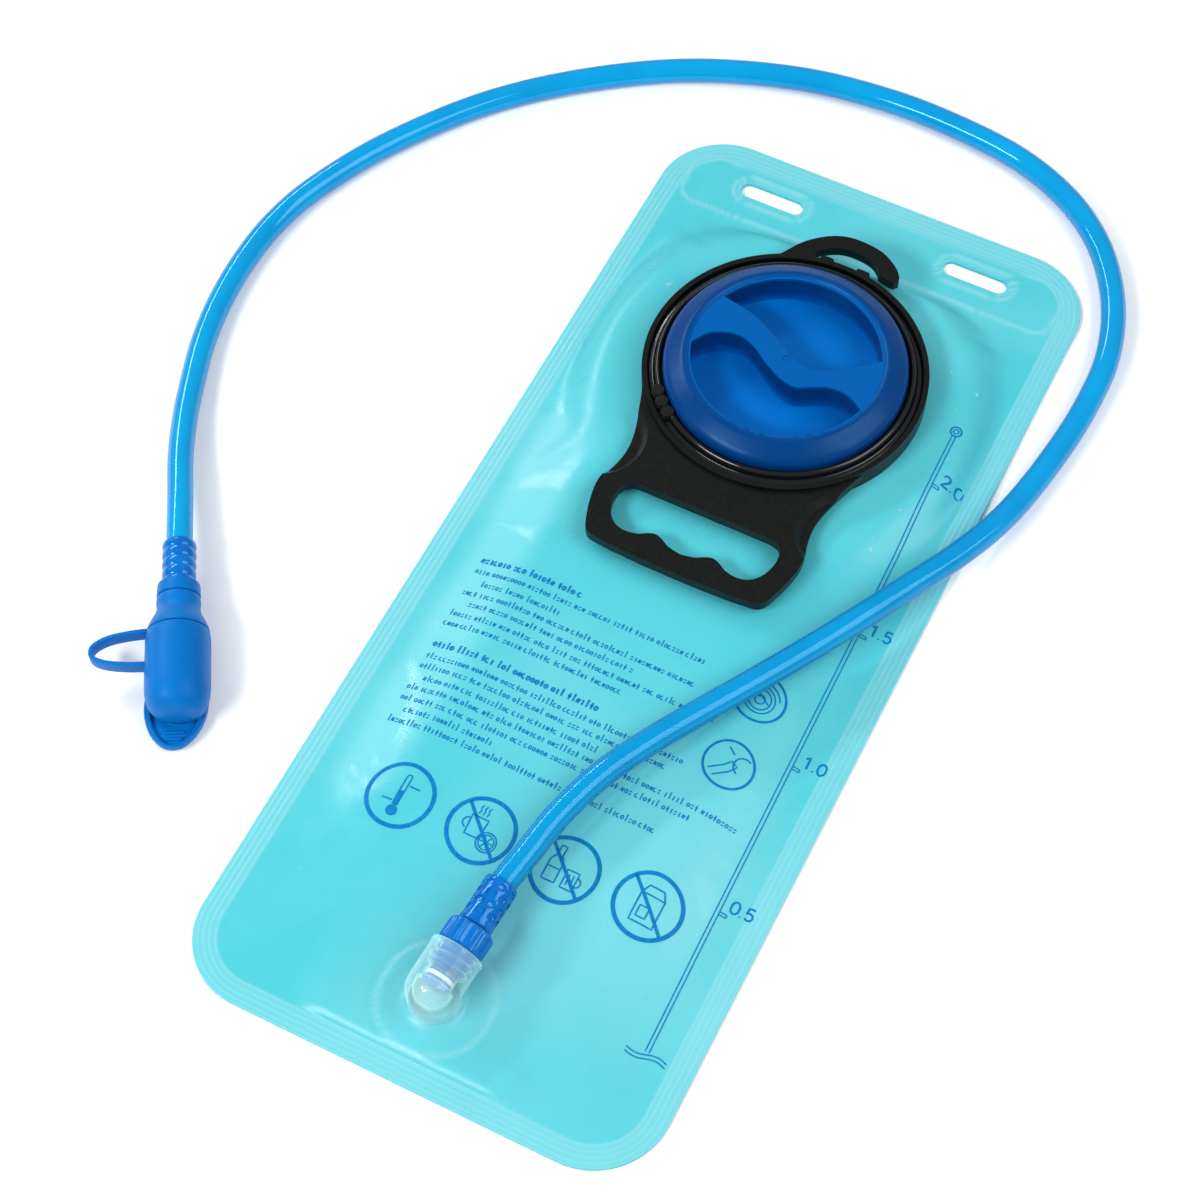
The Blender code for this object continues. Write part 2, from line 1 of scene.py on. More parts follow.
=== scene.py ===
"""The looks of the hydration bladder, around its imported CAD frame."""

import json
import math
import random

import bmesh
import bpy
import numpy as np
from mathutils import Matrix, Vector


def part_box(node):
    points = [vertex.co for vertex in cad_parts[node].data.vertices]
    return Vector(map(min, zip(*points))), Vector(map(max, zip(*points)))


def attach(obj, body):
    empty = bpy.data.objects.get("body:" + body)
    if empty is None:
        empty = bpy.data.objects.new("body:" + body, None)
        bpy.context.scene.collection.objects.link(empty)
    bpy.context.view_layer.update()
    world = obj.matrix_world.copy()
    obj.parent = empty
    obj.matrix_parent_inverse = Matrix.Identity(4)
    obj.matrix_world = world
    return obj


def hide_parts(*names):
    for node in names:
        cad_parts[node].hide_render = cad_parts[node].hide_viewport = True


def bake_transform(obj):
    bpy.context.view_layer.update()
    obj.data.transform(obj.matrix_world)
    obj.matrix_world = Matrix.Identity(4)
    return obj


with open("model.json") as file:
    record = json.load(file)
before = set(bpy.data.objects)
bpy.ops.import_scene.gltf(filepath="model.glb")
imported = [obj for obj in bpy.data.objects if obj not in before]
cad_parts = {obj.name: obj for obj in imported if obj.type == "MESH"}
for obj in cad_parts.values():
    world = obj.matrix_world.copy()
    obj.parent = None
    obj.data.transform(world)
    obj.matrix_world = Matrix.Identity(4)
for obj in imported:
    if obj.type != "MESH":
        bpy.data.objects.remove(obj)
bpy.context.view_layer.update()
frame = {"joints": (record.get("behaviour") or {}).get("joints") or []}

MM = 0.001
TURN = 2 * math.pi

# ---------------------------------------------------------------- places taken from the frame


def centre_of(node):
    low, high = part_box(node)
    return [(a + b) / 2 / MM for a, b in zip(low, high)]


def joint(name):
    return next(j for j in frame["joints"] if j["name"] == name)


bag_low, bag_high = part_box("front_film")
BAG_WIDTH = (bag_high[0] - bag_low[0]) / MM
BAG_LENGTH = (bag_high[1] - bag_low[1]) / MM
PORT_X, PORT_Y = centre_of("screw_cap")[:2]
PORT = Vector((PORT_X, PORT_Y, 0.0))
NUT_AXIS = joint("nut_turn")
OUTLET = Vector(NUT_AXIS["pos_m"]) / MM
OUTLET_AXIS = Vector(NUT_AXIS["axis"]).normalized()
VALVE_AXIS = Vector(joint("cover_pull")["axis"]).normalized()

# sizes that the solids share with this script. Lengths are in millimetres unless a comment says metres
BACK_TOP = 0.5  # the upper side of the back sheet
RIM_TOP = 1.3  # the upper side of the front sheet at the rim, then over the port and the outlet
PORT_FILM_TOP = 9.4
OUTLET_FILM_TOP = 3.6
WELD_WIDTH = 8.0
BAG_CORNER = 27.0
POCKET_TOP = 166.0
POCKET_CORNER = 22.0
PANEL_INSET = 9.5  # from the bag's edge to the panel that holds the hanging slots
PORT_HOLE_RADIUS = 47.3
FLANGE_RADIUS = 57.5
OUTLET_HOLE_RADIUS = 8.7
PAD_HALF_WIDTH = 19.5  # the pad that is welded round the outlet
PAD_LOW = OUTLET.y - 18.5
PAD_HIGH = OUTLET.y + 20.5
PAD_CORNER = 17.5
SLOT_SPACING = 86.0
SLOT_Y = 183.0
SLOT_SIZE = (26.0, 6.5)
CAP_PITCH = 4.0
NUT_PITCH = 3.0
HOSE_RADIUS = 4.8
HOSE_BORE = 0.70  # of the radius
HOSE_START = 26.5  # along the outlet's axis, inside the boot
HOSE_END = 11.0  # along the valve's axis
VALVE = Vector((-165.4, -59.7, 12.4))
# the hose's middle line between the two boots
HOSE_ROUTE = [
    (3.8, -130.5, 17.6), (6.5, -115.5, 18.8), (9.2, -100, 19.3), (15.2, -80, 19), (24, -61, 18),
    (35, -41, 16.8), (46.5, -21, 15.8), (57.5, -1.5, 15.2), (68, 18, 14.8), (78, 38.5, 13),
    (87.5, 59.5, 10), (95, 80.5, 7.6), (99.5, 102, 5.8), (103, 128.5, 5), (104, 150, 4.9),
    (103, 167, 4.9), (98.5, 185, 4.9), (90.5, 202, 4.9), (78.5, 218, 4.9), (61.5, 231.5, 4.9),
    (38, 241.5, 4.9), (9.5, 246, 4.9), (-22, 246.5, 4.9), (-58.5, 241, 4.9), (-98.5, 226, 4.9),
    (-134, 203, 4.9), (-164.5, 174.5, 4.9), (-189.5, 139, 4.9), (-204.5, 107, 4.9), (-210.5, 84, 4.9),
    (-211.7, 62, 4.9), (-210, 41.5, 4.9), (-206, 22.5, 5), (-200, 5, 5.6), (-193, -12, 7),
    (-184.5, -28.5, 9), (-174.5, -44.6, 11.2), (-165.4, -59.7, 12.4),
]

# ---------------------------------------------------------------- mesh helpers


def add_object(name, points, faces, finish, place=None, sharp=35):
    """A mesh object from points in millimetres, in the frame of place (or of the world)."""
    mesh = bpy.data.meshes.new(name)
    mesh.from_pydata([Vector(p) * MM for p in points], [], faces)
    mesh.validate()
    mesh.materials.append(finish)
    smooth(mesh, sharp)
    made = bpy.data.objects.new(name, mesh)
    bpy.context.scene.collection.objects.link(made)
    if place is not None:
        mesh.transform(place)
    return made


def smooth(mesh, sharp):
    mesh.shade_smooth()
    mesh.set_sharp_from_angle(angle=math.radians(sharp))


def freeze(made, sharp=35):
    """Applies the object's modifiers to its mesh."""
    bpy.context.view_layer.update()
    finish = made.data.materials[0]
    mesh = bpy.data.meshes.new_from_object(made.evaluated_get(bpy.context.evaluated_depsgraph_get()))
    made.modifiers.clear()
    made.data = mesh
    mesh.materials.clear()
    mesh.materials.append(finish)
    smooth(mesh, sharp)
    return made


def combine(made, *steps):
    """Cuts and joins helper objects with exact Booleans, and removes the helpers."""
    for operation, other in steps:
        modifier = made.modifiers.new("step", "BOOLEAN")
        modifier.operation = operation
        modifier.object = other
        freeze(made)
        bpy.data.objects.remove(other)
    return made


def bevel(made, width, segments=3, angle=40, sharp=35):
    modifier = made.modifiers.new("edges", "BEVEL")
    modifier.width = width * MM
    modifier.segments = segments
    modifier.limit_method = "ANGLE"
    modifier.angle_limit = math.radians(angle)
    modifier.use_clamp_overlap = True
    return freeze(made, sharp)


def remesh(made, voxel, smoothing=4):
    """One closed skin with soft edges, as a moulded rubber piece has."""
    modifier = made.modifiers.new("skin", "REMESH")
    modifier.mode = "VOXEL"
    modifier.voxel_size = voxel * MM
    relax = made.modifiers.new("relax", "SMOOTH")
    relax.factor = 0.5
    relax.iterations = smoothing
    return freeze(made, 180)


def upright(centre):
    return Matrix.Translation(centre * MM)


def along(origin, axis, up=Vector((0, 0, 1))):
    """A frame at origin whose Z runs along axis and whose X points down."""
    z = axis.normalized()
    y = z.cross(-up).normalized()
    x = y.cross(z)
    turn = Matrix((x, y, z)).transposed().to_4x4()
    return Matrix.Translation(origin * MM) @ turn


def smooth_path(points, spans):
    """Points along a Catmull-Rom curve through the given points, with this many steps for each span."""
    points = [Vector((*p, 0)) if len(p) == 2 else Vector(p) for p in points]
    path = []
    for index in range(len(points) - 1):
        start, end = points[index], points[index + 1]
        before = points[index - 1] if index else 2 * start - end
        after = points[index + 2] if index + 2 < len(points) else 2 * end - start
        for step in range(spans):
            t = step / spans
            path.append(
                0.5 * (2 * start + (end - before) * t
                       + (2 * before - 5 * start + 4 * end - after) * t ** 2
                       + (3 * start - before - 3 * end + after) * t ** 3)
            )
    path.append(points[-1])
    return path


def smooth_pairs(points, spans):
    return [(p.x, p.y) for p in smooth_path(points, spans)]


def even_path(points, spacing):
    """The same path with its points this far apart."""
    lengths = [0.0]
    for a, b in zip(points, points[1:]):
        lengths.append(lengths[-1] + (b - a).length)
    count = max(2, round(lengths[-1] / spacing))
    path, at = [], 0
    for index in range(count + 1):
        goal = lengths[-1] * index / count
        while at < len(points) - 2 and lengths[at + 1] < goal:
            at += 1
        share = (goal - lengths[at]) / max(lengths[at + 1] - lengths[at], 1e-9)
        path.append(points[at].lerp(points[at + 1], share))
    return path


def plate(name, outline, low, high, finish, place=None, flare=0.0):
    """An outline extruded between two heights. flare widens the upper outline about its own middle."""
    count = len(outline)
    middle = Vector((sum(p[0] for p in outline) / count, sum(p[1] for p in outline) / count))
    lower = [(p[0], p[1], low) for p in outline]
    upper = []
    for p in outline:
        away = Vector((p[0], p[1])) - middle
        away = away + away.normalized() * flare
        upper.append((middle.x + away.x, middle.y + away.y, high))
    faces = [(i, (i + 1) % count, count + (i + 1) % count, count + i) for i in range(count)]
    faces += [tuple(range(count - 1, -1, -1)), tuple(range(count, 2 * count))]
    return add_object(name, lower + upper, faces, finish, place)


def polar(radius, angle, x=0.0, y=0.0):
    """The point at this radius and angle from (x, y)."""
    return x + radius * math.cos(angle), y + radius * math.sin(angle)


def circle(radius, sides, x=0.0, y=0.0):
    return [polar(radius, TURN * i / sides, x, y) for i in range(sides)]


def slot_outline(length, width, x, y, corner=12):
    """A slot with round ends, across the X axis."""
    reach = (length - width) / 2
    points = []
    for middle, start in ((reach, -90), (-reach, 90)):
        for step in range(corner + 1):
            points.append(polar(width / 2, math.radians(start + 180 * step / corner), x + middle, y))
    return points


def turned(name, profile, finish, place=None, sides=96, pitch=1.0, ribs=0, sharp=35):
    """A turned solid. A profile row is (radius, height), then how far a thread and ribs stand out there."""
    points, rings = [], []
    for row in profile:
        radius, height, thread, rib = (*row, 0.0, 0.0)[:4]
        if radius == 0:
            rings.append([len(points)] * sides)
            points.append((0.0, 0.0, height))
            continue
        rings.append(list(range(len(points), len(points) + sides)))
        for index in range(sides):
            angle = TURN * index / sides
            wave = thread * math.cos(TURN * height / pitch - angle) + rib * math.cos(ribs * angle)
            points.append((*polar(radius + wave, angle), height))
    faces = []
    for lower, upper in zip(rings, rings[1:] + rings[:1]):
        for index in range(sides):
            after = (index + 1) % sides
            face = list(dict.fromkeys([lower[index], lower[after], upper[after], upper[index]]))
            if len(face) > 2:
                faces.append(face)
    return add_object(name, points, faces, finish, place, sharp)


def rounded(profile, radius, steps=4):
    """A closed profile with its corners rounded, as far as its straight stretches allow."""
    points = [Vector(p[:2]) for p in profile]
    made = []
    for index, point in enumerate(points):
        if point.x == 0:
            made.append((point.x, point.y))
            continue
        before = points[index - 1] - point
        after = points[(index + 1) % len(points)] - point
        cut = min(radius, before.length * 0.45, after.length * 0.45)
        if cut < 0.02:
            made.append((point.x, point.y))
            continue
        start, end = point + before.normalized() * cut, point + after.normalized() * cut
        for step in range(steps + 1):
            t = step / steps
            bend = start * (1 - t) ** 2 + point * 2 * t * (1 - t) + end * t ** 2
            made.append((bend.x, bend.y))
    return made


def thread_rows(radius, start, end, depth, pitch, per_turn=14):
    """Profile rows of a thread that fades in and out at its ends."""
    count = max(2, round(abs(end - start) / pitch * per_turn))
    rows = []
    for step in range(count + 1):
        height = start + (end - start) * step / count
        fade = min(1.0, abs(height - start) / pitch * 2, abs(end - height) / pitch * 2)
        rows.append((radius, height, depth * fade))
    return rows


def ring_edges(first, count):
    """The pairs of neighbouring points round a ring of points that starts at this index."""
    return [(first + i, first + (i + 1) % count) for i in range(count)]


def sweep(name, path, section, finish, closed_ends=True, up=None):
    """A section, given as (across, up) points, swept along a path without twisting."""
    count = len(section)
    points, faces = [], []
    tangent = (path[1] - path[0]).normalized()
    lift = up or (Vector((0, 0, 1)) if abs(tangent.z) < 0.9 else Vector((1, 0, 0)))
    for index, place in enumerate(path):
        tangent = (path[min(index + 1, len(path) - 1)] - path[max(index - 1, 0)]).normalized()
        side = tangent.cross(lift).normalized()
        lift = side.cross(tangent)
        points += [place + side * a + lift * b for a, b in section]
    for ring in range(len(path) - 1):
        faces += [(a, a + count, b + count, b) for a, b in ring_edges(ring * count, count)]
    if closed_ends:
        last = (len(path) - 1) * count
        faces.append(tuple(range(count)))
        faces.append(tuple(last + i for i in reversed(range(count))))
    return add_object(name, points, faces, finish)


def face_outward(made):
    """Turns every face of a closed mesh outwards."""
    mesh = bmesh.new()
    mesh.from_mesh(made.data)
    bmesh.ops.recalc_face_normals(mesh, faces=mesh.faces)
    mesh.to_mesh(made.data)
    mesh.free()


def keep(piece, body, slot, *nodes):
    """Puts a finished piece on its body, and hides the nodes that it stands in for. The slot is not used."""
    if nodes:
        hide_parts(*nodes)
    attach(piece, body)
    return piece


# ---------------------------------------------------------------- materials

BLUE_SHINE = (0.35, 0.7, 1.0, 1.0)  # the blue plastics tint what they mirror


class Finish:
    """A Principled material, with short calls for the nodes that give it its detail."""

    def __init__(self, name, colour, roughness, **settings):
        self.made = bpy.data.materials.new(name)
        self.made.use_nodes = True
        self.nodes = self.made.node_tree.nodes
        self.links = self.made.node_tree.links
        self.shader = self.nodes["Principled BSDF"]
        self.put("Base Color", (*colour, 1.0))
        self.put("Roughness", roughness)
        for key, value in settings.items():
            self.put(key.replace("_", " "), value)
        self.place = self.nodes.new("ShaderNodeTexCoord").outputs["Object"]

    def put(self, socket, value):
        self.shader.inputs[socket].default_value = value

    def noise(self, scale, detail=3.0, roughness=0.5, distortion=0.0):
        node = self.nodes.new("ShaderNodeTexNoise")
        settings = {"Scale": scale, "Detail": detail, "Roughness": roughness, "Distortion": distortion}
        for socket, value in settings.items():
            node.inputs[socket].default_value = value
        self.links.new(self.place, node.inputs["Vector"])
        return node.outputs["Fac"]

    def ramp(self, factor, *stops):
        node = self.nodes.new("ShaderNodeValToRGB")
        ramp = node.color_ramp
        while len(ramp.elements) < len(stops):
            ramp.elements.new(0.5)
        for element, (at, value) in zip(ramp.elements, stops):
            element.position = at
            element.color = (*value, 1.0) if hasattr(value, "__len__") else (value, value, value, 1.0)
        self.links.new(factor, node.inputs["Fac"])
        return node.outputs["Color"]

    def span(self, value, low, high, to_low=0.0, to_high=1.0):
        """The value carried from one range to another, and held inside it."""
        node = self.nodes.new("ShaderNodeMapRange")
        for socket, number in zip(("From Min", "From Max", "To Min", "To Max"), (low, high, to_low, to_high)):
            node.inputs[socket].default_value = number
        self.links.new(value, node.inputs["Value"])
        return node.outputs["Result"]

    def axis(self, letter):
        node = self.nodes.new("ShaderNodeSeparateXYZ")
        self.links.new(self.place, node.inputs["Vector"])
        return node.outputs[letter]

    def feed(self, socket, value):
        """Links a node's output to the socket, or sets it to a number or a colour."""
        if hasattr(value, "links"):
            self.links.new(value, socket)
        else:
            socket.default_value = (*value, 1.0) if hasattr(value, "__len__") else value

    def math(self, operation, *values):
        node = self.nodes.new("ShaderNodeMath")
        node.operation = operation
        for socket, value in zip(node.inputs, values):
            self.feed(socket, value)
        return node.outputs["Value"]

    def mix(self, factor, a, b):
        node = self.nodes.new("ShaderNodeMix")
        node.data_type = "RGBA"
        self.feed(node.inputs["Factor"], factor)
        for name, value in (("A", a), ("B", b)):
            self.feed(next(s for s in node.inputs if s.name == name and s.type == "RGBA"), value)
        return next(s for s in node.outputs if s.type == "RGBA")

    def facing(self, blend=0.5):
        node = self.nodes.new("ShaderNodeLayerWeight")
        node.inputs["Blend"].default_value = blend
        return node.outputs["Facing"]

    def bump(self, height, strength, distance=0.001, after=None):
        node = self.nodes.new("ShaderNodeBump")
        node.inputs["Strength"].default_value = strength
        node.inputs["Distance"].default_value = distance
        self.links.new(height, node.inputs["Height"])
        if after:
            self.links.new(after, node.inputs["Normal"])
        self.links.new(node.outputs["Normal"], self.shader.inputs["Normal"])
        return node.outputs["Normal"]

    def to(self, socket, value):
        self.links.new(value, self.shader.inputs[socket])

    def mottle(self, scale, low, high, detail=3.0):
        """A base colour that drifts between two stops of a ramp."""
        self.to("Base Color", self.ramp(self.noise(scale, detail), low, high))

    def wear(self, scale, low, high):
        """A roughness that drifts between two values."""
        self.to("Roughness", self.span(self.noise(scale), 0.3, 0.7, low, high))


def film_finish(name, colour, deep, alpha, rim=None):
    """Tinted EVA film: cloudy, with faint wet patches and fine grain. rim colours its welded edge."""
    made = Finish(name, colour, 0.3, Specular_IOR_Level=0.35)
    clouds = made.noise(11, 3, 0.5, 0.3)
    patches = made.ramp(made.noise(24, 4, 0.6, 1.2), (0.52, 0.0), (0.60, 1.0))
    tint = made.ramp(clouds, (0.3, deep), (0.7, colour))
    tint = made.mix(made.math("MULTIPLY", patches, 0.22), tint, deep)
    haze = made.ramp(made.noise(5.5, 2, 0.5, 0.6), (0.48, 0.0), (0.68, 0.4))
    tint = made.mix(haze, tint, rim or colour)
    if rim:
        weld = made.nodes.new("ShaderNodeAttribute")
        weld.attribute_name = "weld"
        tint = made.mix(made.math("MULTIPLY", weld.outputs["Fac"], 0.7), tint, rim)
    made.to("Base Color", tint)
    made.to("Roughness", made.span(patches, 0, 1, 0.34, 0.22))
    made.put("Alpha", alpha)
    made.bump(made.noise(900, 2), 0.06, 0.0003, made.bump(made.noise(60, 3), 0.08, 0.002))
    return made.made


def ink_finish():
    made = Finish("blue ink", (0.0, 0.15, 0.42), 0.55, Specular_IOR_Level=0.1)
    made.mottle(500, (0.35, (0.0, 0.13, 0.39)), (0.65, (0.0, 0.18, 0.46)))
    made.to("Alpha", made.span(made.noise(1800, 2), 0.35, 0.65, 0.88, 1.0))
    return made.made


def black_finish():
    made = Finish("black plastic", (0.005, 0.006, 0.006), 0.34, Specular_IOR_Level=0.2)
    speck = made.noise(1400, 2, 0.6)
    made.to("Base Color", made.ramp(speck, (0.4, (0.002, 0.003, 0.003)), (0.72, (0.007, 0.008, 0.008))))
    made.wear(250, 0.28, 0.38)
    made.bump(speck, 0.2, 0.0002)
    return made.made


def gloss_black_finish():
    made = Finish("glossy black plastic", (0.004, 0.005, 0.006), 0.14, Specular_IOR_Level=0.35)
    made.wear(180, 0.10, 0.2)
    made.bump(made.noise(120, 3), 0.04, 0.0005)
    return made.made


def cap_finish(floor, top):
    """Blue plastic with painted light and shade: painted light shining through the thin floors of the wells,
    painted shade down their walls and round the rim.
    """
    made = Finish("cap plastic", (0.0, 0.10, 0.45), 0.3, Specular_IOR_Level=0.18, Specular_Tint=BLUE_SHINE)
    # painted light and shade by height: bright at the well floors, painted shade down the walls, lighter
    # again on the top of the bar
    height = made.span(made.axis("Z"), floor * MM, top * MM)
    tint = made.ramp(height, (0.0, (0.0, 0.115, 0.44)), (0.08, (0.0, 0.08, 0.34)), (0.35, (0.0, 0.03, 0.17)),
                     (0.8, (0.0, 0.022, 0.12)), (0.92, (0.0, 0.085, 0.32)), (1.0, (0.0, 0.05, 0.22)))
    squares = []
    for letter, middle in (("X", PORT.x), ("Y", PORT.y)):
        away = made.math("SUBTRACT", made.axis(letter), middle * MM)
        squares.append(made.math("MULTIPLY", away, away))
    radius = made.math("SQRT", made.math("ADD", *squares))
    cloud = made.noise(35, 3, 0.5, 0.3)
    tint = made.mix(made.span(cloud, 0.4, 0.7, 0, 0.3), tint, (0.0, 0.085, 0.33))
    # painted shade: the rim band is darker than the rest of the cap
    rim = made.span(radius, 36.2 * MM, 38.5 * MM)
    made.to("Base Color", made.mix(rim, tint, (0.0, 0.036, 0.165)))
    made.wear(500, 0.26, 0.36)
    made.bump(made.noise(1500, 2), 0.05, 0.0002)
    return made.made


def clear_finish():
    """Clear moulding: see-through where the threads are, cloudy at the domed end."""
    made = Finish("clear plastic", (0.55, 0.92, 0.95), 0.06, Specular_IOR_Level=0.7)
    cloudy = made.span(made.axis("Y"), -182 * MM, -166 * MM, 0.34, 0.12)
    made.to("Alpha", made.math("MAXIMUM", cloudy, made.span(made.facing(0.45), 0.2, 1.0, 0.1, 0.8)))
    made.bump(made.noise(160, 3), 0.04, 0.0005)
    return made.made


def fitting_finish():
    made = Finish("blue fitting", (0.0, 0.12, 0.44), 0.12, Specular_IOR_Level=0.5, Specular_Tint=BLUE_SHINE)
    made.mottle(220, (0.3, (0.0, 0.10, 0.40)), (0.7, (0.0, 0.14, 0.48)))
    made.bump(made.noise(300, 3), 0.06, 0.0003)
    return made.made


def hose_finish():
    """Clear blue tube: darker seen edge on, and over the bag see-through enough to show the print."""
    made = Finish("blue hose", (0.0, 0.25, 0.56), 0.05, Specular_IOR_Level=0.5, Specular_Tint=BLUE_SHINE)
    tint = made.ramp(made.noise(30, 3), (0.35, (0.0, 0.235, 0.53)), (0.65, (0.0, 0.29, 0.60)))
    edge = made.span(made.facing(0.45), 0.25, 1.0, 0.0, 0.8)
    made.to("Base Color", made.mix(edge, tint, (0.0, 0.12, 0.42)))
    left = made.span(made.axis("X"), -80 * MM, -95 * MM)
    right = made.span(made.axis("X"), 75 * MM, 95 * MM)
    above = made.span(made.axis("Y"), 200 * MM, 225 * MM)
    off_bag = made.math("MAXIMUM", made.math("MAXIMUM", left, right), above)
    low = made.span(off_bag, 0.0, 1.0, 0.80, 1.0)
    made.to("Alpha", made.math("MAXIMUM", low, made.span(made.facing(0.5), 0.0, 1.0, 0.5, 1.0)))
    made.bump(made.noise(25, 1), 0.03, 0.0010)
    return made.made


def silicone_finish():
    made = Finish("blue silicone", (0.0, 0.125, 0.43), 0.42, Specular_IOR_Level=0.2, Specular_Tint=BLUE_SHINE)
    made.mottle(60, (0.3, (0.0, 0.115, 0.40)), (0.7, (0.0, 0.135, 0.46)), 4)
    made.wear(700, 0.36, 0.5)
    made.bump(made.noise(1700, 2), 0.10, 0.0002)
    return made.made


def seal_finish():
    made = Finish("clear silicone", (0.75, 0.8, 0.82), 0.35, Subsurface_Weight=0.3, Subsurface_Scale=0.002)
    made.wear(400, 0.3, 0.45)
    return made.made


def droplet_finish():
    made = Finish("water", (0.75, 0.95, 0.97), 0.03, Specular_IOR_Level=0.7)
    made.to("Alpha", made.span(made.facing(0.4), 0.0, 1.0, 0.05, 0.5))
    return made.made


def floor_finish():
    made = Finish("floor", (0.93, 0.94, 0.95), 0.8)
    made.mottle(8, (0.3, (0.92, 0.93, 0.94)), (0.7, (0.94, 0.95, 0.96)), 2)
    return made.made


# ---------------------------------------------------------------- camera, light and floor

# the photograph's viewpoint: metres, degrees and the lens in millimetres
PHOTO_TARGET = Vector((-0.0215, -0.0094, 0.0))
PHOTO_AZIMUTH = 27.7
PHOTO_ELEVATION = 59.5
PHOTO_DISTANCE = 0.985
PHOTO_ROLL = -1.0
PHOTO_LENS = 82.2
SENSOR_WIDTH = 36.0

# the lamps, all turned towards the origin: name, place and size in metres, and power in watts
LAMPS = [
    ("key", (-0.55, -1.02, 1.1), (0.7, 0.3), 18),
    ("fill", (1.1, 0.2, 1.2), (1.0, 1.0), 17),
    ("strip", (-1.3, 0.5, 0.9), (1.2, 0.14), 12),
]
WORLD_STRENGTH = 0.42
FLOOR_REACH = 3000
FLOOR_TOP = -0.15  # just below the bag, so that the two never share a plane


def add_camera():
    azimuth, elevation = math.radians(PHOTO_AZIMUTH), math.radians(PHOTO_ELEVATION)
    level = math.cos(elevation)
    away = Vector((math.sin(azimuth) * level, -math.cos(azimuth) * level, math.sin(elevation)))
    data = bpy.data.cameras.new("camera")
    data.lens = PHOTO_LENS
    data.sensor_width = SENSOR_WIDTH
    data.clip_start = 0.01
    camera = bpy.data.objects.new("camera", data)
    bpy.context.scene.collection.objects.link(camera)
    turn = (-away).to_track_quat("-Z", "Y").to_matrix().to_4x4()
    roll = Matrix.Rotation(math.radians(PHOTO_ROLL), 4, "Z")
    camera.matrix_world = Matrix.Translation(PHOTO_TARGET + away * PHOTO_DISTANCE) @ turn @ roll
    bpy.context.scene.camera = camera


def add_lamp(name, place, size, power):
    data = bpy.data.lights.new(name, "AREA")
    data.energy = power
    data.shape = "RECTANGLE"
    data.size, data.size_y = size
    light = bpy.data.objects.new(name, data)
    bpy.context.scene.collection.objects.link(light)
    place = Vector(place)
    light.matrix_world = Matrix.Translation(place) @ place.to_track_quat("Z", "Y").to_matrix().to_4x4()


def add_stage():
    world = bpy.data.worlds.new("studio")
    bpy.context.scene.world = world
    world.use_nodes = True
    background = world.node_tree.nodes["Background"].inputs
    background["Color"].default_value = (1.0, 1.0, 1.0, 1.0)
    background["Strength"].default_value = WORLD_STRENGTH
    for lamp in LAMPS:
        add_lamp(*lamp)
    bpy.context.scene.view_settings.view_transform = "Standard"
    corners = [(x * FLOOR_REACH, y * FLOOR_REACH) for x, y in ((-1, -1), (1, -1), (1, 1), (-1, 1))]
    floor = plate("floor", corners, -6, FLOOR_TOP, floor_finish())


# ---------------------------------------------------------------- the film's shape


def ease(value):
    value = np.clip(value, 0.0, 1.0)
    return value * value * (3 - 2 * value)


def inside_box(x, y, half_width, low, high, radius):
    """How far a point lies inside an upright rounded rectangle; negative outside."""
    middle, reach = (low + high) / 2, (high - low) / 2 - radius
    across = np.abs(x) - (half_width - radius)
    lengthways = np.abs(y - middle) - reach
    outside = np.hypot(np.maximum(across, 0), np.maximum(lengthways, 0))
    return radius - outside - np.minimum(np.maximum(across, lengthways), 0)


# how far a point lies inside the bag's outline, its water pocket, the panel with the hanging slots
# and the pad welded round the outlet
def rim_distance(x, y):
    return inside_box(x, y, BAG_WIDTH / 2, -BAG_LENGTH / 2, BAG_LENGTH / 2, BAG_CORNER)


def pocket_distance(x, y):
    low = -BAG_LENGTH / 2 + WELD_WIDTH
    return inside_box(x, y, BAG_WIDTH / 2 - WELD_WIDTH, low, POCKET_TOP, POCKET_CORNER)


def panel_distance(x, y):
    high = BAG_LENGTH / 2 - PANEL_INSET
    return inside_box(x, y, BAG_WIDTH / 2 - PANEL_INSET, POCKET_TOP + 2.5, high, 7.0)


def pad_distance(x, y):
    return inside_box(x, y, PAD_HALF_WIDTH, PAD_LOW, PAD_HIGH, PAD_CORNER)


def slot_distances(x, y):
    """How far a point lies outside each of the two hanging slots."""
    distances = []
    for side in (-1, 1):
        across = np.maximum(np.abs(x - side * SLOT_SPACING / 2) - (SLOT_SIZE[0] - SLOT_SIZE[1]) / 2, 0)
        distances.append(np.hypot(across, y - SLOT_Y) - SLOT_SIZE[1] / 2)
    return distances


def ridge(distance, width):
    """A narrow ridge, 1 high where the distance is 0."""
    return np.exp(-(distance / width) ** 2)


def draw_wave(draw):
    """The pace, heading and phase of one ripple."""
    return draw.uniform(0.02, 0.085), draw.uniform(0, math.pi), draw.uniform(0, TURN)


RIPPLES = random.Random(11)
WAVES = [draw_wave(RIPPLES) for _ in range(14)]


def ripple(x, y):
    """Low, uneven waves, about one unit high."""
    total = np.zeros_like(x)
    for pace, heading, phase in WAVES:
        turn = pace * (x * math.cos(heading) + y * math.sin(heading))
        bend = 0.9 * np.sin(pace * 0.6 * (y * math.cos(heading) - x * math.sin(heading)) + phase * 2)
        total = total + np.sin(turn + bend + phase) * (0.03 / pace)
    return total / 5


# folds that run out from the outlet and in from the corners: start, end, half width, height
FOLDS = [
    ((24, -160), (66, -128), 5.0, 1.1), ((20, -185), (52, -191), 3.5, 0.8),
    ((-22, -150), (-52, -118), 6.0, 0.7), ((-24, -182), (-62, -176), 4.0, 0.8),
    ((-70, -168), (-78, -120), 3.0, 0.7), ((66, -176), (74, -120), 3.0, 0.8),
    ((58, 60), (74, 20), 4.0, 0.6), ((-56, 62), (-72, 20), 4.0, 0.6),
    ((-46, 148), (-72, 156), 3.0, -0.8), ((46, 148), (72, 156), 3.0, -0.8),
    ((-20, -40), (-64, -90), 7.0, 0.5), ((8, -60), (20, -120), 6.0, -0.6),
]


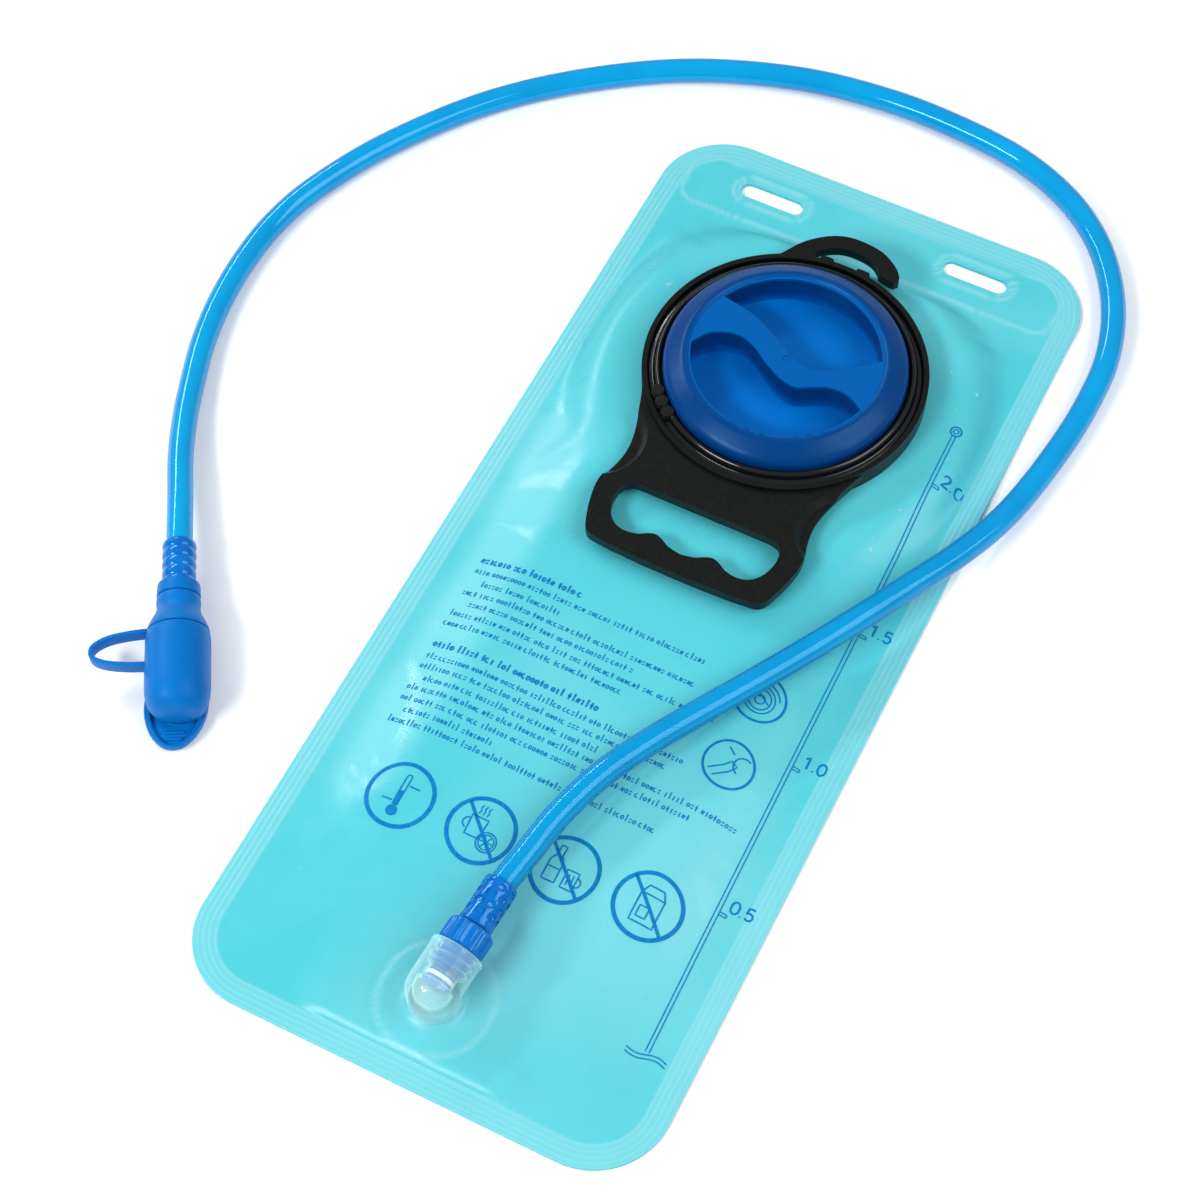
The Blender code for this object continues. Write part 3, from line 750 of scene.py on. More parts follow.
def fold_height(x, y):
    total = np.zeros_like(x)
    for (ax, ay), (bx, by), width, height in FOLDS:
        run = math.hypot(bx - ax, by - ay)
        ux, uy = (bx - ax) / run, (by - ay) / run
        along_fold = (x - ax) * ux + (y - ay) * uy
        across = (x - ax) * -uy + (y - ay) * ux - 2.5 * np.sin(along_fold / run * 4)
        ends = ease(along_fold / run * 3) * ease((run - along_fold) / run * 3)
        total = total + height * ends * ridge(across, width)
    return total


def rim_lines(rim):
    """1 on the thin lines that the sealing bar leaves along the rim, 0 between them."""
    return (0.5 + 0.5 * np.cos(TURN * rim / 2.0)) ** 4


def weld_ridges(x, y):
    """The heat-seal bars: fine ridges along the rim, the panel's outline and ovals round the slots."""
    rim = rim_distance(x, y)
    ridges = 0.22 * rim_lines(rim) * ease(rim / 0.8) * ease((8.6 - rim) / 1.0)
    ridges = ridges + 0.3 * ridge(panel_distance(x, y), 0.7)
    for slot in slot_distances(x, y):
        ridges = ridges + 0.35 * ridge(slot - 3.2, 0.6) + 0.25 * ridge(slot - 0.9, 0.5)
    return ridges


def film_height(x, y):
    """The upper side of the front sheet, in millimetres."""
    x, y = np.asarray(x, float), np.asarray(y, float)
    inset = pocket_distance(x, y)
    # the pillow rises from the rim, and sooner beside the port and the outlet
    crown = PORT_FILM_TOP + (OUTLET_FILM_TOP - PORT_FILM_TOP) * ease((-112 - y) / 36)
    port = np.hypot(x - PORT.x, y - PORT.y)
    outlet = np.hypot(x - OUTLET.x, y - OUTLET.y)
    pillow = ease(inset / 36)
    near_port = (1 - ease((port - 66) / 18)) * ease(inset / 7)
    near_outlet = (1 - ease((outlet - 34) / 16)) * ease(inset / 3.4)
    cover = 1 - (1 - pillow) * (1 - near_port) * (1 - near_outlet)
    height = RIM_TOP + (crown - RIM_TOP) * cover
    # ripples and folds lie clear of the fittings, and are weaker under the handle
    free = ease((port - 59) / 12) * ease((outlet - 24) / 10) * ease(inset / 9)
    grip = 1 - ease(1.6 - np.hypot((x - PORT.x) / 46, (y - PORT.y + 72) / 34))
    height = height + free * (0.28 * ripple(x, y) * (0.4 + 0.6 * grip) + 0.6 * fold_height(x, y))
    # the flange under the film shows as a low step, and the outlet's pad as a lip with a groove outside it
    outer_step, inner_step = (1 - ease((port - radius) / 1.2) for radius in (FLANGE_RADIUS, 49))
    height = height + (0.28 * outer_step - 0.28 * inner_step * 0.4) * (port < 75)
    pad = pad_distance(x, y)
    height = height + 0.35 * ease(pad) - 0.25 * ridge(pad + 1.2, 0.8) * ease(inset / 4)
    # the film climbs the outlet's foot
    hug = 2.2 * (1 - ease((outlet - 8.4) / 3.2)) + 0.3 * ridge(outlet - 12.5, 0.8)
    return height + hug + weld_ridges(x, y)


def mark_welds(sheet):
    """Stores on the sheet how far each point belongs to a welded edge, for its paler colour."""
    values = np.empty(len(sheet.data.vertices) * 3)
    sheet.data.vertices.foreach_get("co", values)
    x, y = values[0::3] / MM, values[1::3] / MM
    rim = rim_distance(x, y)
    weld = (1 - ease((rim - 8.0) / 1.2)) * (0.55 + 0.45 * rim_lines(rim))
    weld = np.maximum(weld, 0.9 * ridge(panel_distance(x, y), 0.8))
    weld = np.maximum(weld, 0.8 * ridge(pad_distance(x, y), 0.8))
    for slot in slot_distances(x, y):
        weld = np.maximum(weld, ridge(slot - 3.2, 0.7) + ridge(slot - 0.9, 0.5))
    made = sheet.data.attributes.new("weld", "FLOAT", "POINT")
    made.data.foreach_set("value", np.clip(weld, 0, 1))


def rounded_box(half_width, low, high, radius, side, end, corner):
    """A rounded rectangle, with this many steps along each side, each end and round each corner."""
    points = []
    centres = [(half_width - radius, high - radius, 0), (radius - half_width, high - radius, 90),
               (radius - half_width, low + radius, 180), (half_width - radius, low + radius, 270)]
    for index, (x, y, start) in enumerate(centres):
        for step in range(corner + 1):
            points.append(Vector(polar(radius, math.radians(start + 90 * step / corner), x, y)))
        after_x, after_y, after_start = centres[(index + 1) % 4]
        goal = Vector(polar(radius, math.radians(after_start), after_x, after_y))
        count = side if index % 2 else end
        last = points[-1]
        points += [last.lerp(goal, step / count) for step in range(1, count)]
    return points


SHEET_THICKNESS = 0.42
EDGE_ROUND = 0.35  # the sheet's edge is round over this much of its rim


def film_sheet(name, finish, height):
    """A sheet of the bag as a closed shell, rings of points inwards from the rim, under the given height."""
    half = SHEET_THICKNESS / 2
    side, end, corner = 180, 76, 26
    rings = []
    rim_steps = [0, 0.15, EDGE_ROUND] + [EDGE_ROUND * step for step in range(2, 27)]
    insets = rim_steps + [rim_steps[-1] + 1.9 * step for step in range(1, 39)]
    for inset in insets:
        radius = max(BAG_CORNER - inset * 0.55, 2.0)
        reach = BAG_LENGTH / 2 - inset
        rings.append(rounded_box(BAG_WIDTH / 2 - inset, -reach, reach, radius, side, end, corner))
    count = len(rings[0])
    flat = [p for ring in rings for p in ring]
    xs = np.array([p.x for p in flat])
    ys = np.array([p.y for p in flat])
    zs = height(xs, ys)
    soft = np.minimum(np.repeat(insets, count) / EDGE_ROUND, 1.0)
    swell = np.sqrt(np.maximum(soft * (2 - soft), 0.0))
    top = list(zip(xs, ys, zs - half * (1 - swell)))
    under = list(zip(xs, ys, zs - half * (1 + swell) - 0.002))
    lower = len(top)
    faces = []
    for ring in range(len(rings) - 1):
        for a, b in ring_edges(ring * count, count):
            faces.append((a, b, b + count, a + count))
            faces.append((lower + a, lower + a + count, lower + b + count, lower + b))
    faces += [(lower + a, lower + b, b, a) for a, b in ring_edges(0, count)]
    last = (len(rings) - 1) * count
    left_start = corner * 2 + end
    right = [last + (-step) % count for step in range(side + 1)]
    left = [last + left_start + step for step in range(side + 1)]
    for a, b, c, d in zip(right, right[1:], left[1:], left):
        faces.append((a, d, c, b))
        faces.append((lower + a, lower + b, lower + c, lower + d))
    for start in (0, left_start + side):
        cap = [last + start + step for step in range(left_start + 1)]
        faces.append(tuple(cap))
        faces.append(tuple(lower + i for i in reversed(cap)))
    sheet = add_object(name, top + under, faces, finish, sharp=60)
    for slot_side in (-1, 1):
        outline = slot_outline(*SLOT_SIZE, slot_side * SLOT_SPACING / 2, SLOT_Y)
        combine(sheet, ("DIFFERENCE", plate("slot_cut", outline, -5, 12, finish)))
    return sheet


def add_front(finish):
    sheet = film_sheet("bag_front", finish, film_height)
    port_hole = plate("cut", circle(PORT_HOLE_RADIUS, 128, PORT.x, PORT.y), -2, 30, finish)
    outlet_hole = plate("cut", circle(OUTLET_HOLE_RADIUS, 64, OUTLET.x, OUTLET.y), -2, 30, finish)
    combine(sheet, ("DIFFERENCE", port_hole), ("DIFFERENCE", outlet_hole))
    smooth(sheet.data, 60)
    mark_welds(sheet)
    return keep(sheet, "bladder", "film", "front_film")


def back_height(x, y):
    return BACK_TOP + 0.14 * weld_ridges(x, y)


def add_back(finish):
    return keep(film_sheet("bag_back", finish, back_height), "bladder", "film", "back_film")


# ---------------------------------------------------------------- the print

INK_LIFT = 0.12  # how far the ink stands above the film
DIGIT_STROKE = 0.75


class Print:
    """Ink strips that follow the film, gathered into one mesh."""

    def __init__(self):
        self.points, self.faces = [], []

    def line(self, path, width, closed=False, step=1.6):
        """A stroke along a path, split at least every step so that it follows the film."""
        path = [Vector(p[:2]) for p in path]
        if closed:
            path = path + [path[0]]
        even = []
        for a, b in zip(path, path[1:]):
            count = max(1, math.ceil((b - a).length / step))
            even += [a.lerp(b, i / count) for i in range(count)]
        if not closed:
            even.append(path[-1])
        start = len(self.points)
        count = len(even)
        for index, point in enumerate(even):
            before = even[index - 1] if index or closed else point
            after = even[(index + 1) % count] if index + 1 < count or closed else point
            ahead = (after - before).normalized()
            side = Vector((-ahead.y, ahead.x)) * (width / 2)
            self.points += [point + side, point - side]
        for index in range(count if closed else count - 1):
            a = start + 2 * index
            b = start + 2 * ((index + 1) % count)
            self.faces.append((a, a + 1, b + 1, b))

    def ring(self, x, y, radius, width, sides=48):
        self.line(circle(radius, sides, x, y), width, closed=True)

    def arc(self, x, y, radius, first, last, width, sides=16):
        angles = [math.radians(first + (last - first) * i / sides) for i in range(sides + 1)]
        self.line([polar(radius, a, x, y) for a in angles], width)

    def strokes(self, x, y, rows):
        """Strokes given about a middle: the width, whether closed, then the points."""
        for width, closed, *points in rows:
            self.line([(x + across, y + up) for across, up in points], width, closed)

    def finish(self, name, finish):
        xs = np.array([p.x for p in self.points])
        ys = np.array([p.y for p in self.points])
        points = list(zip(xs, ys, film_height(xs, ys) + INK_LIFT))
        keep(add_object(name, points, self.faces, finish), "bladder", "film")


SCALE_TOP = (66.0, 108.5)
SCALE_FOOT = (70.2, -157.5)
SCALE_MARKS = [("2.0", 83.5), ("1.5", 17.2), ("1.0", -41.2), ("0.5", -101.7)]


def scale_x(y):
    share = (SCALE_TOP[1] - y) / (SCALE_TOP[1] - SCALE_FOOT[1])
    return SCALE_TOP[0] + (SCALE_FOOT[0] - SCALE_TOP[0]) * share


def add_scale(ink):
    """The volume scale: two thin lines from a ring to a wavy foot, with a tick and a number at each mark."""
    marks = Print()
    for shift in (-0.7, 0.7):
        marks.line([(scale_x(y) + shift, y) for y in (SCALE_TOP[1] - 2.2, 40, -40, SCALE_FOOT[1] + 1)], 0.42)
    marks.ring(*SCALE_TOP, 2.1, 0.6, 24)
    marks.ring(*SCALE_TOP, 1.0, 0.45, 16)
    for shift in (0.0, 1.5):
        wave = [(x, 0.9 * math.sin(x * 0.42) - shift) for x in np.linspace(-7, 7.5, 18)]
        marks.strokes(*SCALE_FOOT, [(0.45, False, *wave)])
    for words, y in SCALE_MARKS:
        x = scale_x(y)
        for shift in (-0.55, 0.55):
            marks.line([(x + 0.7, y + shift), (x + 3.4, y + shift)], 0.42)
        marks.line([(x + 3.4, y + 0.55), (x + 3.4, y - 0.55)], 0.42)
        add_number(marks, words, x + 3.4, y + 2.0, 4.6)
    marks.finish("print_scale", ink)


# the strokes of each digit, in a box one unit tall
DIGITS = {
    "0": [(0.0, 0.3), (0.0, 0.7), (0.12, 0.92), (0.3, 1.0), (0.48, 0.92), (0.6, 0.7), (0.6, 0.3),
          (0.48, 0.08), (0.3, 0.0), (0.12, 0.08), (0.0, 0.3)],
    "1": [(0.06, 0.78), (0.34, 1.0), (0.34, 0.0)],
    "2": [(0.02, 0.74), (0.08, 0.9), (0.3, 1.0), (0.52, 0.9), (0.58, 0.72), (0.48, 0.5), (0.0, 0.0),
          (0.62, 0.0)],
    "5": [(0.56, 1.0), (0.1, 1.0), (0.05, 0.54), (0.28, 0.62), (0.5, 0.54), (0.6, 0.32), (0.5, 0.1),
          (0.28, 0.0), (0.02, 0.12)],
    ".": [(0.0, 0.0), (0.0, 0.09)],
}


def add_number(marks, words, x, y, tall):
    """A number of the scale, drawn in strokes that follow the film."""
    for letter in words:
        marks.line([(x + a * tall, y + b * tall) for a, b in DIGITS[letter]], DIGIT_STROKE, step=0.6)
        x += tall * (0.32 if letter == "." else 0.84)


# the panel of small print: left end, right end and height of each row; a heading is bolder
PRINT_ROWS = [
    (-66, -26, -16.7, True), (-66, 25, -21.5, False), (-61, -28, -26.6, False), (-66, 26, -31.3, False),
    (-61, 4, -35.9, False), (-66, 38, -40.8, False), (-66, 4, -45.4, False),
    (-65, -1, -55.0, True), (-65, 35, -60.2, False), (-65, 32, -64.7, False), (-61, 8.5, -69.5, False),
    (-65, 64, -74.0, False), (-65, 47.5, -78.7, False), (-61, -27, -83.4, False), (-65, 39, -88.2, False),
]


def add_small_print(ink):
    """Rows of strokes that stand for small print without spelling anything."""
    draw = random.Random(5)
    rows = Print()
    for left, right, y, bold in PRINT_ROWS:
        tall = 3.1 if bold else 2.7
        stroke = 0.7 if bold else 0.44
        x = left
        while x < right:
            for _ in range(draw.randint(3, 9)):
                if x > right:
                    break
                add_mark(rows, draw, x, y, tall, stroke)
                x += tall * 0.56
            x += tall * 0.36
    rows.finish("print_rows", ink)


def add_mark(rows, draw, x, y, tall, stroke):
    """One small mark, such as a bar, a loop or a wave. None of them is a letter."""
    wide, middle = tall * 0.36, y + tall * 0.34
    shape = draw.choice(("bar", "tall bar", "loop", "loop", "wave", "dash", "cross bar", "half loop"))
    if shape == "bar":
        rows.line([(x + wide / 2, y), (x + wide / 2, y + tall * 0.68)], stroke)
    elif shape == "tall bar":
        rows.line([(x + wide / 2, y), (x + wide / 2, y + tall)], stroke)
    elif shape == "loop":
        loop = [(x + wide / 2 + across, middle + up * 1.35) for across, up in circle(wide * 0.5, 8)]
        rows.line(loop, stroke, closed=True)
    elif shape == "wave":
        wave = ((0, -0.7), (0.3, 0.8), (0.7, -0.8), (1, 0.7))
        rows.line([(x + wide * across, middle + wide * up) for across, up in wave], stroke)
    elif shape == "dash":
        rows.line([(x, middle + wide * 0.5), (x + wide, middle + wide * 0.5)], stroke)
        rows.line([(x, middle - wide * 0.6), (x + wide, middle - wide * 0.6)], stroke)
    elif shape == "cross bar":
        rows.line([(x, middle + wide * 0.3), (x + wide, middle + wide * 0.3)], stroke)
        rows.line([(x + wide / 2, y), (x + wide / 2, y + tall * 0.85)], stroke)
    else:
        rows.arc(x + wide * 0.5, middle, wide * 0.75, 90, 300, stroke, 6)


ICON_RADIUS = 11.8
ICONS = [(-45.3, -113.4), (-14.2, -113.0), (17.8, -113.2), (48.7, -112.4)]
FIGURES = [(48.9, -24.4), (50.0, -52.6)]

# the straight strokes of each pictogram about its middle: width, whether closed, then the points
THERMOMETER = [
    (0.5, False, (-0.9, -4.2), (-0.9, 7), (-0.6, 7.8), (0.6, 7.8), (0.9, 7), (0.9, -4.2)),
    (1.3, False, (0, -5), (0, 1.5)),
    (0.55, False, (1.6, 4), (5.5, 4)),
    (0.55, False, (-5.5, -3), (-1.6, -3)),
]
HOT_CUP = [
    (0.55, True, (-5.2, 4), (-4.8, -3.4), (0.6, -3.4), (1.0, 4)),
    *[(0.5, False, (x, 5), (x + 0.5, 6.2), (x, 7.4), (x + 0.5, 8.6)) for x in (-3.6, -2.1, -0.6)],
]
BOTTLE_AND_MUG = [
    (0.55, True, (-6, -6), (-6, 1.6), (-4.6, 4), (-4.6, 7.6), (-2.6, 7.6), (-2.6, 4), (-1.2, 1.6),
     (-1.2, -6)),
    (0.5, False, (-6, -1), (-1.2, -1)),
    (0.55, True, (1.2, -6.4), (1.2, 0.4), (5.6, 0.4), (5.6, -6.4)),
    (0.5, False, (2.6, -5), (2.6, -1)),
    (0.5, False, (4.2, -5), (4.2, -1)),
]
CARTON = [
    (0.55, True, (-4, -7), (-4, 3.6), (-2.4, 6.8), (3, 6.8), (4.6, 3.6), (4.6, -7)),
    (0.5, False, (-4, 3.6), (4.6, 3.6)),
    (0.5, True, (-2.4, -5), (-2.4, -1), (1, -1), (1, -5)),
]
TURNING_CAP = [(0.55, False, (-3.6, -0.5), (0, 1.0), (3.6, -1.2))]
HAND_ON_VALVE = [
    (0.55, False, (-6, -4.4), (-1.5, -1), (0.6, 1.6), (3, 0.4), (1, -2.6), (-3.6, -6.2)),
    (0.55, False, (0.4, 4.2), (-2.4, 6.2)),
]


def add_icons(ink):
    """Generic care pictograms, all but the first struck through, and two small figures of the parts."""
    icons = Print()
    for (x, y), drawing in zip(ICONS, (THERMOMETER, HOT_CUP, BOTTLE_AND_MUG, CARTON)):
        icons.ring(x, y, ICON_RADIUS, 1.5, 72)
        if drawing is not THERMOMETER:
            reach = ICON_RADIUS * 0.70
            icons.line([(x - reach, y + reach), (x + reach, y - reach)], 1.2)
        icons.strokes(x, y, drawing)
    x, y = ICONS[0]
    icons.ring(x, y - 6.4, 1.0, 2.1, 20)
    x, y = ICONS[1]
    icons.arc(x - 5.2, y + 0.6, 2.0, 100, 260, 0.55)
    wheel = (x + 3.6, y - 3.4)
    icons.ring(*wheel, 3.6, 0.5, 28)
    icons.ring(*wheel, 2.7, 0.42, 28)
    for spoke in range(6):
        icons.line([wheel, polar(2.6, TURN * spoke / 6, *wheel)], 0.42)
    x, y = ICONS[2]
    icons.arc(x + 5.6, y - 3, 1.7, -90, 90, 0.55)
    for (x, y), drawing in zip(FIGURES, (TURNING_CAP, HAND_ON_VALVE)):
        icons.ring(x, y, 9.0, 0.9, 56)
        icons.strokes(x, y, drawing)
    x, y = FIGURES[0]
    for radius in (5.4, 4.0, 1.8):
        icons.ring(x, y - 0.5, radius, 0.5, 32)
    icons.arc(x, y - 0.5, 7.0, 20, 100, 0.55)
    x, y = FIGURES[1]
    icons.arc(x + 4.8, y + 1.4, 3.4, 60, 250, 0.55)
    icons.finish("print_icons", ink)


def add_drops(places, water):
    """Small drops and bubbles on the film, each a flat dome."""
    points, faces = [], []
    rings, sides = 5, 14
    for x, y, radius in places:
        z = float(film_height(x, y)) - 0.02
        start = len(points)
        for ring in range(rings):
            angle = math.pi / 2 * ring / rings
            for i in range(sides):
                turn = TURN * i / sides
                reach = radius * math.cos(angle) * (1 + 0.12 * math.cos(2 * turn + x))
                points.append((*polar(reach, turn, x, y), z + radius * 0.45 * math.sin(angle)))
        points.append((x, y, z + radius * 0.45))
        for ring in range(rings - 1):
            faces += [(a, b, b + sides, a + sides) for a, b in ring_edges(start + ring * sides, sides)]
        faces += [(a, b, start + rings * sides) for a, b in ring_edges(start + (rings - 1) * sides, sides)]
        faces.append(tuple(start + i for i in reversed(range(sides))))
    keep(add_object("water_drops", points, faces, water, sharp=80), "bladder", "clear_plastic")


def drop_places():
    """The larger drops, then small ones strewn clear of the fittings: x, y and radius of each."""
    draw = random.Random(21)
    places = [
        (66, 128, 0.9), (61, 68, 0.8), (57, 53, 0.5), (58, 49, 1.1), (68, 96, 0.5), (54, 132, 0.6),
        (-58, 122, 1.2), (-66, 108, 0.5), (62, 118, 0.4), (70, 60, 0.4), (-64, -150, 0.5),
        (60, -140, 0.6), (32, -140, 0.5),
    ]
    for _ in range(34):
        x, y = draw.uniform(-72, 74), draw.uniform(-186, 156)
        clear_of_port = math.hypot(x - PORT.x, y - PORT.y) > 59
        clear_of_grip = abs(x) > 46 or not -2 < y < 100
        clear_of_outlet = math.hypot(x - OUTLET.x, y - OUTLET.y) > 24
        if clear_of_port and clear_of_grip and clear_of_outlet:
            places.append((x, y, draw.uniform(0.18, 0.4)))
    return places


# ---------------------------------------------------------------- the fill port


def add_port_flange(finish):
    profile = [(FLANGE_RADIUS, 7.0), (FLANGE_RADIUS, 8.6), (46.9, 8.6), (46.9, 10.1), (42.6, 10.1),
               (42.6, 7.0)]
    flange = turned("weld_flange", rounded(profile, 0.4), finish, upright(PORT), 160)
    keep(flange, "bladder", "flange", "port_flange")


def add_port_neck(finish):
    profile = [(42.3, 6.6), (42.3, 10.1), (40.6, 11.2)]
    profile += thread_rows(41.2, 13.6, 20.8, 0.6, CAP_PITCH)
    profile += [(40.6, 21.4), (40.2, 22.0), (37.9, 22.0), (37.5, 21.6), (37.5, 6.6)]
    neck = turned("threaded_neck", profile, finish, upright(PORT), 144, CAP_PITCH)
    keep(neck, "bladder", "black_plastic", "port_neck")


LUG_ANGLES = (220, 226, 232)  # the knurled catch on the collar


def add_retaining_ring(finish):
    profile = [(48.6, 10.4), (48.6, 15.8), (50.8, 15.8), (50.8, 17.2), (48.9, 17.6), (48.3, 19.8),
               (47.3, 20.5), (46.4, 20.0), (46.4, 12.8), (43.2, 12.8), (43.2, 10.4)]
    ring = turned("retaining_collar", rounded(profile, 0.5), finish, upright(PORT), 160)
    for angle in LUG_ANGLES:
        outline = circle(2.4, 24, *polar(48.6, math.radians(angle)))
        lug = plate("lug", outline, 15.9, 21.2, finish, upright(PORT))
        combine(ring, ("UNION", lug))
    bevel(ring, 0.35, 2, 50)
    keep(ring, "bladder", "black_plastic", "retaining_ring")


def mirrored(half):
    """The right half of an outline, followed by its mirror image on the way back."""
    return half + [(-x, y) for x, y in reversed(half) if x > 0]


THROUGH = (0, 30)  # the heights of a cutter that goes right through

# the handle's outlines about the port's middle: the grip's side, its slot, and the hook at the top
FRAME_BOTTOM = 12.8
FRAME_TOP = 17.0
GRIP_SIDE = [
    (50.8, -16), (48.2, -22), (44.2, -30), (40.6, -40.3), (38.2, -49), (37.4, -56), (38.2, -63),
    (40, -70), (40.3, -76), (38.8, -84), (36.6, -91),
]
SLOT_HALF = [
    (26, -68.8), (29.6, -69.8), (31.7, -73.2), (31.9, -78), (30.2, -83.6), (26.6, -87.6), (22, -88.8),
    (17.5, -88), (14, -86.1), (11.3, -85.3), (8.6, -86.1), (5, -88), (0, -89),
]
HOOK_OUTSIDE = [
    (-27, 44.7), (-23.7, 49.9), (-20, 56.3), (-15, 61.7), (-8, 66.2), (0, 67.7), (10, 66.4),
    (17.2, 62.2), (20.3, 58.6), (21.0, 56.6),
]
HOOK_INSIDE = [
    (11.6, 58.2), (9, 60.2), (5, 61.4), (0, 61.8), (-5, 61), (-10, 58.2), (-13.4, 55), (-12.6, 53.6),
    (-9, 51.7),
]


def add_handle(finish):
    place = upright(PORT)
    half = smooth_pairs(GRIP_SIDE, 6)
    half += [(35.6, -93.2), (34.2, -94.8), (32.5, -95.6), (24, -96.4), (12, -96.9), (0, -97)]
    body = plate("handle", mirrored(half)[::-1], FRAME_BOTTOM, FRAME_TOP, finish, place)
    hole = plate("cut", circle(52.0, 160), *THROUGH, finish, place)
    slot = plate("cut", mirrored(smooth_pairs(SLOT_HALF, 5))[::-1], *THROUGH, finish, place)
    combine(body, ("DIFFERENCE", hole), ("DIFFERENCE", slot))
    for across in (-1, 1):
        scoop = plate("cut", circle(15.6, 96, across * 49.5, -55.5), 14.4, 24, finish, place, flare=9.0)
        combine(body, ("DIFFERENCE", scoop))
    band = [(49.1, 10.3), (53.2, 10.3), (53.2, 18.5), (51.2, 18.5), (51.2, 15.4), (49.1, 15.4)]
    ring = turned("ring", band, finish, place, 160)
    arch = smooth_pairs(HOOK_OUTSIDE, 5) + [(19.6, 54.9), (17.6, 54.9), (13.2, 56.0)]
    arch += smooth_pairs(HOOK_INSIDE, 4)
    hook = plate("hook", arch[::-1], FRAME_BOTTOM, FRAME_TOP, finish, place)
    combine(body, ("UNION", ring), ("UNION", hook))
    for x in (-7.2, 7.6):
        boss = plate("boss", slot_outline(5.4, 1.9, x, 53.4), FRAME_BOTTOM, 18.2, finish, place)
        combine(body, ("UNION", boss))
    bevel(body, 0.8, 3, 50)
    keep(body, "bladder", "black_plastic", "handle_frame")


# ---------------------------------------------------------------- the cap

# the two edges of the wavy bar across the cap, about its middle
GRIP_UPPER = [
    (-32.3, 14.5), (-25, 13.2), (-17.6, 11.3), (-7.6, 6.3), (2.4, 0.6), (9.9, -1.5), (17.4, 1.3),
    (24.9, 6.9), (32.7, 13.5),
]
GRIP_LOWER = [
    (-34.2, -9), (-29, -2), (-20, 1), (-12.6, -1.2), (-5, -6.3), (2.4, -10), (8.7, -11), (15, -7.8),
    (20.5, -5.6), (27.4, -5.9), (34.1, -9.5),
]
WELL_RADIUS = 35.4
WELL_FLOOR = 13.4
CAP_TOP = 26.2
RIM_TOP_OF_CAP = 27.2
TICK_ANGLES = (262, 271, 280, 300, 308, 316)


def well_outline(points, upper):
    """The finger well between one edge of the grip and the rim, a little inside the solid's own well."""
    first = math.atan2(points[-1][1], points[-1][0])
    last = math.atan2(points[0][1], points[0][0])
    last = last % TURN if upper else (last - TURN if last > 0 else last)
    arc = [first + (last - first) * step / 60 for step in range(1, 60)]
    outline = smooth_pairs(points, 8) + [polar(WELL_RADIUS, a) for a in arc]
    return outline if upper else outline[::-1]


def add_cap(finish):
    place = upright(PORT)
    profile = [(0, 11.8), (36.2, 11.8), (36.6, 12.2), (36.6, 24.2), (42.3, 24.2)]
    profile += thread_rows(41.95, 22.0, 14.2, 0.6, CAP_PITCH)
    profile += [(42.9, 13.5), (45.1, 13.5), (45.5, 13.9), (45.5, 20.6), (45.4, 21.4), (45.0, 22.4),
                (44.3, 23.3), (43, 24.2), (41.6, 25.1), (40.2, 26.0), (39.2, 26.6), (38.5, 27.0),
                (37.7, RIM_TOP_OF_CAP), (36.9, 27.0), (36.4, 26.6), (36.1, CAP_TOP), (0, CAP_TOP)]
    cap = turned("screw_lid", profile, finish, place, 180, CAP_PITCH)
    for outline in (well_outline(GRIP_UPPER, True), well_outline(GRIP_LOWER, False)):
        well = plate("cut", outline, WELL_FLOOR, 40, finish, place)
        combine(cap, ("DIFFERENCE", well))
    for angle in TICK_ANGLES:
        heading = math.radians(angle)
        spot = upright(PORT + Vector((*polar(36.3, heading), 0))) @ Matrix.Rotation(heading, 4, "Z")
        tick = plate("tick", slot_outline(2.2, 0.7, 0, 0, 4), 25, 26.9, finish, spot)
        combine(cap, ("UNION", tick))
    bevel(cap, 0.7, 4, 60, 40)
    dimple = plate("cut", circle(1.5, 24, 0.6, -0.8), 25.9, 30, finish, place)
    combine(cap, ("DIFFERENCE", dimple))
    keep(cap, "cap", "cap_plastic", "screw_cap")


def add_gasket(finish):
    profile = rounded([(37.8, 22.3), (40.3, 22.3), (40.6, 23.1), (40.3, 23.9), (37.8, 23.9)], 0.4)
    keep(turned("lid_gasket", profile, finish, upright(PORT), 128), "cap_seal", "seal", "cap_gasket")


# ---------------------------------------------------------------- the outlet and the hose connector


def add_outlet(finish):
    place = along(OUTLET, OUTLET_AXIS)
    radius = 9.4
    body = [(0, -radius)]
    body += [(radius * math.sin(a), -radius * math.cos(a)) for a in np.radians(np.arange(6, 90, 6))]
    body += [(radius, 0), (radius, 12.6), (9.45, 13.1), (9.75, 13.4), (9.75, 14.6), (9.5, 15.0), (0, 15.0)]
    elbow = turned("outlet_elbow", body, finish, place, 96)
    foot = [(0, 2.0), (8.45, 2.0), (8.45, 5.9), (9.2, 6.3), (9.35, 8), (9.4, OUTLET.z), (0, OUTLET.z)]
    riser = turned("riser", foot, finish, upright(Vector((OUTLET.x, OUTLET.y, 0))), 96)
    outline = rounded_box(PAD_HALF_WIDTH, PAD_LOW, PAD_HIGH, PAD_CORNER, 4, 4, 20)
    flange = plate("flange", outline, 1.2, 2.8, finish)
    bore = [(0, -7), (2.6, -6.5), (4.7, -5.2), (6.2, -3.2), (6.9, -1), (7, 0), (7, 1.2), (5.6, 2.2),
            (5.6, 6.2)]
    bore += thread_rows(7.35, 7.4, 14.4, 0.5, NUT_PITCH)
    bore += [(7.9, 15.0), (7.9, 25), (0, 25)]
    cavity = turned("cut", bore, finish, place, 72, NUT_PITCH)
    duct = plate("cut", circle(4.5, 48, OUTLET.x, OUTLET.y), -5, OUTLET.z, finish)
    combine(elbow, ("UNION", riser), ("UNION", flange), ("DIFFERENCE", cavity), ("DIFFERENCE", duct))
    keep(elbow, "bladder", "clear_plastic", "outlet_port")


